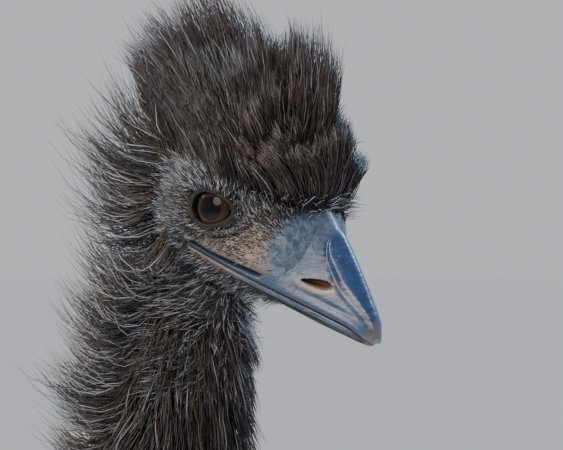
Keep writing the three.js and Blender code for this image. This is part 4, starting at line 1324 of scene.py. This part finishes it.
def lay_scutes(finish):
    """Scutes down the front of each shank and along the top of each toe."""
    rows = []
    for side in SIDES.values():
        t = np.linspace(0.05, 0.93, SHANK_SCUTES)
        centres, up = shank_line(side)(t)
        half, deep = shank_at(t).T
        out = unit(FORWARD + LEFT * side * 0.1)
        long = np.full(SHANK_SCUTES, SHANK_LENGTH * 0.88 / SHANK_SCUTES * 1.04)
        size = np.stack([half * 0.83, long, half * 0.85], 1)
        rows.append(np.broadcast_arrays(centres + out * (deep - 0.2)[:, None], out, up, size))
        for toe in TOES.values():
            count = toe["scutes"] * 2
            ahead = toe_heading(side, toe)
            t = np.linspace(0.12, 0.93, count)
            taper = 1 - 0.38 * t
            high = toe["tall"] * taper
            centres = foot_place(side) + ahead * (toe["length"] * t)[:, None]
            centres = centres + UP * (high * 0.985 + 0.9)[:, None]
            long = np.full(count, toe["length"] * 0.81 / count * 1.08)
            size = np.stack([toe["half"] * taper * 0.78, long, high * 0.42], 1)
            rows.append(np.broadcast_arrays(centres, UP, -ahead, size))
    centres, facing, along, size = (np.vstack(column) for column in zip(*rows))
    spine = bpy.data.meshes.new("scutes")
    spine.vertices.add(len(centres))
    spine.vertices.foreach_set("co", from_body(centres).astype(np.float32).ravel())
    add_attribute(spine, "facing", facing)
    add_attribute(spine, "along", along)
    add_attribute(spine, "size", size * MM)
    made = bpy.data.objects.new("scutes", spine)
    bpy.context.scene.collection.objects.link(made)
    seed = plate_seed()
    made = spread_with(made, scute_tree(), {"Plate": seed, "Overlap": 1.0, "Finish": finish})
    bpy.data.objects.remove(seed)
    return made


# Claws, each a curved and pointed horn over the end of its toe
def claw_shape(side, size):
    ahead = toe_heading(side, size)
    reach, root = size["claw"], size["half"] * 0.46
    t = np.linspace(0, 1, 40)
    along = size["length"] - 7 + (reach + 6.4) * t
    high = 8.4 + 4.5 * t * (1 - t) * 2 - 6.2 * t**2
    body = root * np.sqrt(np.maximum(1 - t**1.9, 0.004))
    across = np.array([-ahead[1], ahead[0], 0])
    centres = foot_place(side) + ahead * along[:, None] + UP * high[:, None]
    return loft(ovals(centres, across, UP, body * 0.92, body * 1.1, np.minimum(body, high - 0.5), 28))


# Shader sums written as Python: a wire is a node's socket that takes part in sums as a number does
class Wire:
    def __init__(self, shop, socket):
        self.shop = shop
        self.socket = socket

    def sum(self, operation, other, swapped=False):
        pair = (other, self) if swapped else (self, other)
        return self.shop.maths(operation, *pair)

    def __add__(self, other):
        return self.sum("ADD", other)

    def __sub__(self, other):
        return self.sum("SUBTRACT", other)

    def __rsub__(self, other):
        return self.sum("SUBTRACT", other, True)

    def __mul__(self, other):
        return self.sum("MULTIPLY", other)

    def __truediv__(self, other):
        return self.sum("DIVIDE", other)

    def __pow__(self, other):
        return self.sum("POWER", other)

    def __abs__(self):
        return self.shop.maths("ABSOLUTE", self)

    __radd__, __rmul__ = __add__, __mul__


class Workshop:
    """Makes one material's nodes."""

    def __init__(self, name):
        self.material = bpy.data.materials.new(name)
        self.material.use_nodes = True
        self.tree = self.material.node_tree
        self.tree.nodes.clear()

    def node(self, kind, settings=(), inputs=(), output=0):
        rows = inputs.items() if isinstance(inputs, dict) else enumerate(inputs)
        plain = {key: value.socket if isinstance(value, Wire) else value for key, value in rows}
        made = wired(self.tree, kind, settings, plain)
        return Wire(self, made.outputs[output]) if made.outputs else None

    def maths(self, operation, *values):
        return self.node("ShaderNodeMath", {"operation": operation}, values)

    def place(self):
        return self.node("ShaderNodeTexCoord", output="Object")

    def head_place(self):
        """X, Y and Z in millimetres of the head's frame."""
        frame = {"Location": tuple(HEAD), "Rotation": (0, HEAD_PITCH, 0), "Scale": (MM, MM, MM)}
        here = self.node("ShaderNodeMapping", {"vector_type": "TEXTURE"}, {"Vector": self.place(), **frame})
        return [self.node("ShaderNodeSeparateXYZ", {}, (here,), axis) for axis in range(3)]

    def height(self):
        return self.node("ShaderNodeSeparateXYZ", {}, (self.place(),), 2)

    def noise(self, scale, detail=3.0, vector=None, distortion=0.0):
        given = {"Scale": scale, "Detail": detail, "Distortion": distortion, "Vector": vector or self.place()}
        return self.node("ShaderNodeTexNoise", {}, given)

    def cells(self, scale, feature="F1"):
        given = {"Scale": scale, "Vector": self.place()}
        return self.node("ShaderNodeTexVoronoi", {"feature": feature}, given)

    def stretched(self, scale, turn=(0, 0, 0)):
        return self.node("ShaderNodeMapping", {}, {"Vector": self.place(), "Rotation": turn, "Scale": scale})

    def rise(self, value, low, high):
        given = {"Value": value, "From Min": low, "From Max": high}
        return self.node("ShaderNodeMapRange", {"interpolation_type": "SMOOTHSTEP"}, given)

    def blend(self, mask, below, above):
        return self.node("ShaderNodeMix", {"data_type": "RGBA"}, {0: mask, 6: below, 7: above}, 2)

    def distance(self, along, over):
        return self.maths("SQRT", along**2 + over**2)

    def attribute(self, name):
        return self.node("ShaderNodeAttribute", {"attribute_name": name}, output="Fac")

    def bump(self, height, strength, distance):
        return self.node("ShaderNodeBump", {}, {"Height": height, "Strength": strength, "Distance": distance})

    def done(self, settings):
        shader = self.node("ShaderNodeBsdfPrincipled", {}, settings)
        self.node("ShaderNodeOutputMaterial", {}, {"Surface": shader})
        return self.material


def colour(red, green, blue):
    return (red, green, blue, 1.0)


def face_blue(shop, mottled):
    return shop.blend(shop.rise(mottled, 0.35, 0.68), colour(0.030, 0.050, 0.088), colour(0.105, 0.13, 0.17))


def skin_finish():
    shop = Workshop("bare_skin")
    x, _, z = shop.head_place()
    along, over = tilted(x - EYE_OPENING[0], z - EYE_OPENING[1], EYE_TILT)
    over = over / EYE_OPENING[3]
    rim = shop.distance(along / EYE_OPENING[2], over)
    patchy, mottled, fine = shop.noise(90, 4), shop.noise(330, 5, distortion=0.8), shop.noise(1100, 4)
    face = shop.rise(x + patchy * 14, -10, 8) * (1 - shop.rise(z + patchy * 8, 3, 13))
    face = face * shop.rise(z, -27, -22)
    tan = shop.blend(shop.rise(patchy, 0.35, 0.7), colour(0.175, 0.128, 0.095), colour(0.29, 0.225, 0.17))
    tan = shop.blend(shop.rise(mottled, 0.5, 0.72) * 0.6, tan, colour(0.19, 0.15, 0.125))
    grey = shop.blend(shop.rise(fine, 0.3, 0.7), colour(0.040, 0.042, 0.048), colour(0.085, 0.088, 0.098))
    tone = shop.blend(face, grey, tan)
    soft = shop.rise(x + patchy * 10 + z * 0.12, 26, 37) * shop.rise(z, -60, -45)
    tone = shop.blend(soft, tone, face_blue(shop, mottled))
    lid = 1 - shop.rise(rim + patchy * 0.2, 1.2, 1.55)
    tone = shop.blend(lid * 0.95, tone, colour(0.006, 0.0045, 0.004))
    below = 1 - shop.rise(over, -0.9, -0.2)
    # Painted shade: the two folds under each eye darkened as if shade fell into them.
    fold_shade = (1 - shop.rise(abs(rim - 1.34), 0.03, 0.1)) + (1 - shop.rise(abs(rim - 1.78), 0.04, 0.14)) * 0.8
    tone = shop.blend(fold_shade * below, tone, colour(0.007, 0.006, 0.006))
    # Painted highlight: a pale patch over each ear opening, as if light caught it.
    ear = shop.distance((x - EAR[0]) / 4.4, (z - EAR[2]) / 4.0)
    tone = shop.blend(1 - shop.rise(ear + patchy * 0.3, 0.7, 1.1), tone, colour(0.42, 0.38, 0.35))
    pits = shop.cells(800)
    tone = shop.blend((1 - shop.rise(pits, 0.1, 0.4)) * 0.5, tone, colour(0.05, 0.04, 0.036))
    leg = 1 - shop.rise(shop.height(), 0.40, 0.44)
    scales = shop.cells(260, "DISTANCE_TO_EDGE")
    horny = shop.blend(shop.rise(scales, 0.02, 0.14), colour(0.022, 0.019, 0.017), colour(0.085, 0.072, 0.06))
    tone = shop.blend(leg, tone, horny)
    height = fine * 0.35 + mottled * 1.1 + shop.rise(pits, 0, 0.3) * 0.35
    height = height + leg * shop.rise(scales, 0, 0.12) * 1.2
    rough = 0.55 + lid * 0.25 - soft * 0.14 + (fine - 0.5) * 0.2
    bump = shop.bump(height, 0.7, 0.0009)
    return shop.done({"Base Color": tone, "Roughness": rough, "Normal": bump, "Specular IOR Level": 0.3})


def bill_finish(name, upper):
    shop = Workshop(name)
    x, y, z = shop.head_place()
    across = abs(y)
    wide = 8.1 - shop.maths("MAXIMUM", x - 54, 0.0) * 0.24
    patchy, fine = shop.noise(130, 5), shop.noise(900, 4)
    mottled = shop.noise(330, 5, distortion=0.8)
    streaks = shop.noise(260, 4, shop.stretched((0.35, 1, 2.6), (0, HEAD_PITCH, 0)))
    cloudy = shop.rise(patchy + streaks, 0.8, 1.3)
    # The bill's sides: dark blue-grey horn, made bluer by painted reflection of the sky in their colour.
    side = shop.blend(cloudy, colour(0.014, 0.030, 0.064), colour(0.055, 0.082, 0.125))
    tip = shop.rise(x + patchy * 3, 76, 81)
    if upper:
        plate = shop.rise(x, 41, 44) * (1 - shop.rise(across - wide, -0.3, 0.5))
        streaked = shop.rise(streaks, 0.3, 0.7)
        # Painted reflection: the plate's saturated blue is mostly the sky reflected in its dark horn, painted
        # into its colour.
        deep = shop.blend(streaked, colour(0.0010, 0.012, 0.052), colour(0.003, 0.030, 0.105))
        tone = shop.blend(plate, side, deep)
        edge = shop.rise(x, 43, 46) * (1 - shop.rise(abs(across - wide - 0.5), 0.1, 0.75))
        edge = edge * shop.rise(streaks, 0.35, 0.6)
        tone = shop.blend(edge * 0.5, tone, colour(0.28, 0.26, 0.25))
        band = 1 - shop.rise(z + shop.rise(x, 64, 80) * 3, MOUTH + 3.6, MOUTH + 5.2)
        tone = shop.blend(band * 0.85, tone, colour(0.012, 0.032, 0.075))
        flesh = shop.rise(z, MOUTH + 4, MOUTH + 6.5) * (1 - shop.rise(x + patchy * 6 + z * 0.5, 22, 34))
        flesh = flesh * (0.12 + 0.5 * shop.rise(mottled, 0.35, 0.7))
        soft = 1 - shop.rise(x + patchy * 8 + z * 0.25, 38, 50)
        tone = shop.blend(soft * (1 - band), tone, face_blue(shop, mottled))
        tone = shop.blend(flesh, tone, colour(0.20, 0.155, 0.115))
        along, over = tilted(x - NOSTRIL[0], z - NOSTRIL[2], NOSTRIL_LEAN)
        along, over = along / NOSTRIL_RIM[0], over / NOSTRIL_RIM[1]
        hole = shop.distance(along, over)
        lip = (1 - shop.rise(hole, 1.0, 1.35)) * (1 - shop.rise(over, -0.6, 0.1))
        lip = lip * (1 - shop.rise(along, 0.6, 1))
        tone = shop.blend(lip * 0.7, tone, colour(0.20, 0.13, 0.08))
        inner = 1 - shop.rise(across + (x - NOSTRIL[0]) * 0.33, NOSTRIL[1] - 2.6, NOSTRIL[1] - 1.2)
        inner = inner * (1 - shop.rise(hole, 0.86, 0.98))
        tone = shop.blend(inner, tone, colour(0.075, 0.028, 0.012))
    else:
        # The lower bill's sides carry the same painted sky reflection.
        tone = shop.blend(shop.rise(z, MOUTH - 3.4, MOUTH - 1.6), colour(0.010, 0.009, 0.009), side)
        tone = shop.blend(1 - shop.rise(x, 8, 26), tone, colour(0.12, 0.095, 0.075))
    mouth = 1 - shop.rise(abs(z - MOUTH + shop.rise(x, 66, 80) * 3), 0.5, 1.2)
    tone = shop.blend(mouth * 0.85, tone, colour(0.016, 0.014, 0.013))
    tone = shop.blend(tip * 0.65, tone, colour(0.15, 0.115, 0.085))
    scuffs = shop.rise(shop.noise(520, 3, shop.stretched((0.25, 2.2, 1), (0.5, 0.4, 0.3))), 0.66, 0.78)
    tone = shop.blend(scuffs * 0.35, tone, colour(0.27, 0.28, 0.30))
    wrinkled = 1 - shop.rise(x + z * 0.25, 34, 48)
    height = streaks * 0.8 + fine * 0.3 + patchy * 0.7 + wrinkled * mottled * 1.6
    return shop.done({
        "Base Color": tone,
        "Roughness": 0.30 + scuffs * 0.25 + fine * 0.12 + tip * 0.15 + wrinkled * 0.15,
        "Normal": shop.bump(height, 0.4, 0.0007),
        "Coat Weight": 0.2,
        "Coat Roughness": 0.15,
    })


def eye_finish():
    shop = Workshop("wet_eye")
    x, y, z = shop.head_place()
    reach = (abs(y) - EYE_SIDE) / EYEBALL
    gaze = x / EYEBALL * GAZE[0] + reach * GAZE[1]
    radius = shop.maths("SQRT", shop.maths("MAXIMUM", 1 - gaze * gaze, 0.0)) * EYEBALL
    turn = shop.maths("ARCTAN2", z, x - 1.8)
    spun = shop.node("ShaderNodeCombineXYZ", {}, (turn * 5, radius * 0.35, 0.0))
    rays = shop.noise(3.2, 4, spun)
    # Painted light: the lower part of the iris is painted lighter and orange, as light through the cornea
    # makes it glow. Above it the iris stays dark, as painted shade under the upper lid.
    lower = 1 - shop.rise(z - x * 0.35, -8.5, -3)
    iris = shop.blend(shop.rise(rays, 0.35, 0.65), colour(0.008, 0.004, 0.003), colour(0.036, 0.016, 0.008))
    iris = shop.blend(lower * shop.rise(rays, 0.3, 0.7) * 0.7, iris, colour(0.125, 0.056, 0.025))
    tone = shop.blend(1 - shop.rise(radius, 3.6, 4.2), iris, colour(0.002, 0.002, 0.002))
    tone = shop.blend(shop.rise(radius, 6.3, 7.9), tone, colour(0.006, 0.004, 0.003))
    corner = shop.rise(x, 6.9, 7.6) * (1 - shop.rise(x, 8.4, 9)) * shop.rise(radius, 7.8, 8.4)
    tone = shop.blend(corner * 0.7, tone, colour(0.30, 0.27, 0.26))
    return shop.done({"Base Color": tone, "Roughness": 0.04, "Specular IOR Level": 0.16})


def coat_finish(name, root, tip, warm, glint, bright, gloss=0.34):
    """Plumage whose colours run from root to tip, and differ from strand to strand and from patch to patch.
    Strands whose shade is past bright have pale ends: painted glints, the sky's reflection painted into their
    colour; among the bristles some are pale of themselves as well."""
    shop = Workshop(name)
    shade, reach = shop.attribute("shade"), shop.attribute("reach")
    patchy = shop.noise(26, 3)
    low = shop.blend(shop.rise(shade + patchy, 0.7, 1.4), root, warm)
    tone = shop.blend(shop.rise(reach, 0.25, 0.95), low, shop.blend(shop.rise(shade, 0.1, 0.9), tip, warm))
    # Painted highlight: pale strand ends that stand in for glints of the sky's light.
    painted_glint = shop.rise(shade, bright, bright + 0.04) * shop.rise(reach, 0.15, 0.6)
    tone = shop.blend(painted_glint, tone, glint)
    return shop.done({"Base Color": tone, "Roughness": gloss + shade * 0.16, "Specular IOR Level": 0.42})


def scute_finish():
    shop = Workshop("scutes")
    patchy, fine = shop.noise(60, 4), shop.noise(700, 4)
    tone = shop.blend(shop.rise(patchy, 0.3, 0.7), colour(0.05, 0.042, 0.036), colour(0.12, 0.10, 0.08))
    tone = shop.blend(shop.rise(fine, 0.55, 0.75) * 0.4, tone, colour(0.20, 0.17, 0.14))
    bump = shop.bump(fine + patchy, 0.4, 0.0005)
    return shop.done({"Base Color": tone, "Roughness": 0.45 + fine * 0.2, "Normal": bump})


def claw_finish():
    shop = Workshop("claws")
    streaks = shop.noise(300, 4, shop.stretched((0.2, 1, 1)))
    tone = shop.blend(shop.rise(streaks, 0.35, 0.7), colour(0.012, 0.011, 0.010), colour(0.07, 0.058, 0.045))
    return shop.done({
        "Base Color": tone,
        "Roughness": 0.32 + streaks * 0.2,
        "Normal": shop.bump(streaks, 0.3, 0.0004),
        "Coat Weight": 0.2,
        "Coat Roughness": 0.25,
    })


def floor_finish():
    shop = Workshop("floor")
    grain = shop.noise(3, 4)
    tone = shop.blend(grain, colour(0.92, 0.922, 0.925), colour(0.95, 0.952, 0.955))
    return shop.done({"Base Color": tone, "Roughness": 0.85})


# Everything is made and set on the frame
# The glint colour of each coat is a painted highlight: the sky's light reflected on the strands.
crest_coat = coat_finish(
    "crest_coat",
    root=colour(0.006, 0.005, 0.005),
    tip=colour(0.011, 0.008, 0.008),
    warm=colour(0.040, 0.024, 0.017),
    glint=colour(0.17, 0.16, 0.17),
    bright=0.9,
)
cheek_coat = coat_finish(
    "cheek_coat",
    root=colour(0.012, 0.011, 0.012),
    tip=colour(0.022, 0.020, 0.022),
    warm=colour(0.068, 0.050, 0.041),
    glint=colour(0.30, 0.32, 0.355),
    bright=0.62,
)
nape_coat = coat_finish(
    "nape_coat",
    root=colour(0.012, 0.011, 0.012),
    tip=colour(0.022, 0.020, 0.021),
    warm=colour(0.070, 0.050, 0.040),
    glint=colour(0.27, 0.28, 0.30),
    bright=0.78,
)
body_coat = coat_finish(
    "body_coat",
    root=colour(0.115, 0.092, 0.070),
    tip=colour(0.024, 0.018, 0.014),
    warm=colour(0.080, 0.058, 0.041),
    glint=colour(0.15, 0.125, 0.10),
    bright=0.9,
    gloss=0.5,
)
# Among the bristles the pale ends are partly pale bristles and partly painted glints.
bristle_coat = coat_finish(
    "bristle_coat",
    root=colour(0.010, 0.009, 0.008),
    tip=colour(0.014, 0.012, 0.011),
    warm=colour(0.024, 0.02, 0.018),
    glint=colour(0.36, 0.38, 0.42),
    bright=0.76,
)


def dressed(made, finish):
    made.data.materials.clear()
    made.data.materials.append(finish)
    return made


def set_piece(made, slot, *nodes):
    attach(made, "root")
    if nodes:
        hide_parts(*nodes)
    return made


skin = dressed(whole_skin(), skin_finish())
ground = Ground(skin.data)

FLESH = ["head", "neck_upper", "neck_middle", "neck_base", "torso", "wing_left", "wing_right", "tail"]
PAIRED_PARTS = ["ear", "drumstick", "shank", "foot", "toe_inner", "toe_middle", "toe_outer"]
for name in SIDES:
    FLESH += [f"{part}_{name}" for part in PAIRED_PARTS]
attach(skin, "root")
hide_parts(*FLESH)


def cut_nostrils(horn):
    """A hollow in each side of the upper bill, wider up and down towards its front."""
    points, faces = ball((0, 0, 0), 1, 24, 32)
    points = points * NOSTRIL_HALVES * np.where([0, 0, 1], 1 + 0.45 * points[:, :1], 1)
    cosine, sine = math.cos(NOSTRIL_LEAN), math.sin(NOSTRIL_LEAN)
    leaning = points @ np.array([[cosine, 0, sine], [0, 1, 0], [-sine, 0, cosine]])
    for side in SIDES.values():
        placed = leaning + NOSTRIL * [1, side, 1] + np.array([0, 0.6 * side, -0.4])
        combine(horn, mesh_piece("nostril", from_head(placed), faces), "DIFFERENCE")
    return horn


upper_points, upper_faces = upper_bill()
upper_horn = cut_nostrils(mesh_piece("bill_upper_horn", from_head(upper_points), upper_faces))
set_piece(dressed(upper_horn, bill_finish("upper_bill_horn", True)), "horn", "bill_upper")
lower_points, lower_faces = lower_bill()
lower_look = bill_finish("lower_bill_horn", False)
lower_horn = mesh_piece("bill_lower_horn", from_head(lower_points), lower_faces, lower_look)
set_piece(lower_horn, "horn", "bill_lower")

eye_look = eye_finish()
claw_look = claw_finish()
for name, side in SIDES.items():
    middle = EYE_MIDDLE * side
    eye_points, eye_faces = ball(middle, EYEBALL, 64, 96)
    spoke = eye_points - middle
    bulge = smoothstep(unit(spoke) @ unit(np.array([GAZE[0], side * GAZE[1], 0.0])), 0.72, 0.93)
    eye_points = eye_points + spoke * (bulge * 0.035)[:, None]
    eye = mesh_piece(f"eyeball_{name}", from_head(eye_points), eye_faces, eye_look)
    set_piece(eye, "eye", f"eye_{name}")
for name, side in SIDES.items():
    for toe, size in TOES.items():
        claw_points, claw_faces = claw_shape(side, size)
        claw = mesh_piece(f"claw_horn_{toe}_{name}", from_body(claw_points), claw_faces, claw_look)
        set_piece(claw, "claw", f"claw_{toe}_{name}")

set_piece(lay_scutes(scute_finish()), "scales")
set_piece(grow_bristles(skin, bristle_coat), "plumage")
set_piece(grow_lashes(bristle_coat), "plumage")
set_piece(grow_forehead(ground, bristle_coat), "plumage")
for made in grow_crest(ground, crest_coat):
    set_piece(made, "plumage")
set_piece(grow_cheeks(ground, cheek_coat), "plumage")
set_piece(grow_nape(ground, nape_coat), "plumage")
set_piece(grow_neck("neck_feathers_upper", crest_coat), "plumage")
set_piece(grow_neck("neck_feathers_lower", body_coat), "plumage")
set_piece(grow_tail(body_coat), "plumage")
for name, side in SIDES.items():
    set_piece(grow_torso(ground, f"back_plumes_{name}", side, body_coat), "plumage")
    set_piece(grow_thigh(f"thigh_plumes_{name}", side, body_coat), "plumage")

# Floor, light and camera
FLOOR_RADIUS = 150.0
FLOOR_SIDES = 96
ring = np.linspace(0, 2 * math.pi, FLOOR_SIDES, endpoint=False)
rim = np.stack([np.cos(ring), np.sin(ring), 0 * ring], 1) * FLOOR_RADIUS
floor_points = np.vstack([rim, [[0, 0, 0]]])
corner = np.arange(FLOOR_SIDES)
floor_faces = np.stack([corner, (corner + 1) % FLOOR_SIDES, np.full(FLOOR_SIDES, FLOOR_SIDES)], 1)
floor = mesh_piece("floor", floor_points, floor_faces, floor_finish(), smooth=False)

world = bpy.data.worlds.new("studio")
world.use_nodes = True
backdrop = world.node_tree.nodes["Background"]
backdrop.inputs["Color"].default_value = colour(0.84, 0.88, 0.94)
backdrop.inputs["Strength"].default_value = 0.68
bpy.context.scene.world = world

VIEW_TURN = math.radians(40)
SCREEN_RIGHT = np.array([math.cos(VIEW_TURN), math.sin(VIEW_TURN), 0])
LOOK = np.array([-SCREEN_RIGHT[1], SCREEN_RIGHT[0], 0])


def lamp(name, place, aim, size, power, tint):
    light = bpy.data.lights.new(name, "AREA")
    light.shape = "DISK"
    light.size = size
    light.energy = power
    light.color = tint
    made = bpy.data.objects.new(name, light)
    made.location = place
    made.rotation_euler = Vector(aim - place).to_track_quat("-Z", "Y").to_euler()
    bpy.context.scene.collection.objects.link(made)


lamp("key", HEAD - SCREEN_RIGHT * 1.5 - LOOK * 1.7 + UP * 2.3, HEAD, 0.45, 92, (1.0, 0.92, 0.82))
lamp("sky", HEAD + SCREEN_RIGHT * 1.5 + LOOK * 1.0 + UP * 1.6, HEAD, 1.2, 100, (0.50, 0.72, 1.0))
lamp("rear", HEAD - SCREEN_RIGHT * 1.6 + LOOK * 1.4 + UP * 1.3, HEAD, 1.2, 45, (0.80, 0.90, 1.0))
lamp("body", BODY + np.array([0.6, -3.0, 2.6]), BODY + UP * 0.7, 2.0, 70, (1.0, 0.96, 0.9))

# The photo's framing: the near eye and the width of the view are placed in its 563 by 450 pixels
IMAGE = (563, 450)
EYE_PIXEL = (210, 207)
PIXELS_PER_MM = 2.45
DISTANCE = 2.4
NEAR_EYE_ASIDE = 32  # of the near eye's front, in millimetres from the middle of the head
SENSOR = 36.0
view_width = IMAGE[0] / PIXELS_PER_MM * MM
near_eye = HEAD - LEFT * NEAR_EYE_ASIDE * MM
shift_right = (IMAGE[0] / 2 - EYE_PIXEL[0]) / PIXELS_PER_MM * MM
shift_up = (EYE_PIXEL[1] - IMAGE[1] / 2) / PIXELS_PER_MM * MM
aim = near_eye + SCREEN_RIGHT * shift_right + UP * shift_up
lens = bpy.data.cameras.new("camera")
lens.sensor_width = SENSOR
lens.lens = SENSOR * DISTANCE / view_width
lens.clip_start = 0.05
lens.clip_end = 400.0
camera = bpy.data.objects.new("camera", lens)
camera.location = aim - LOOK * DISTANCE
camera.rotation_euler = Vector(LOOK).to_track_quat("-Z", "Y").to_euler()
bpy.context.scene.collection.objects.link(camera)
bpy.context.scene.camera = camera
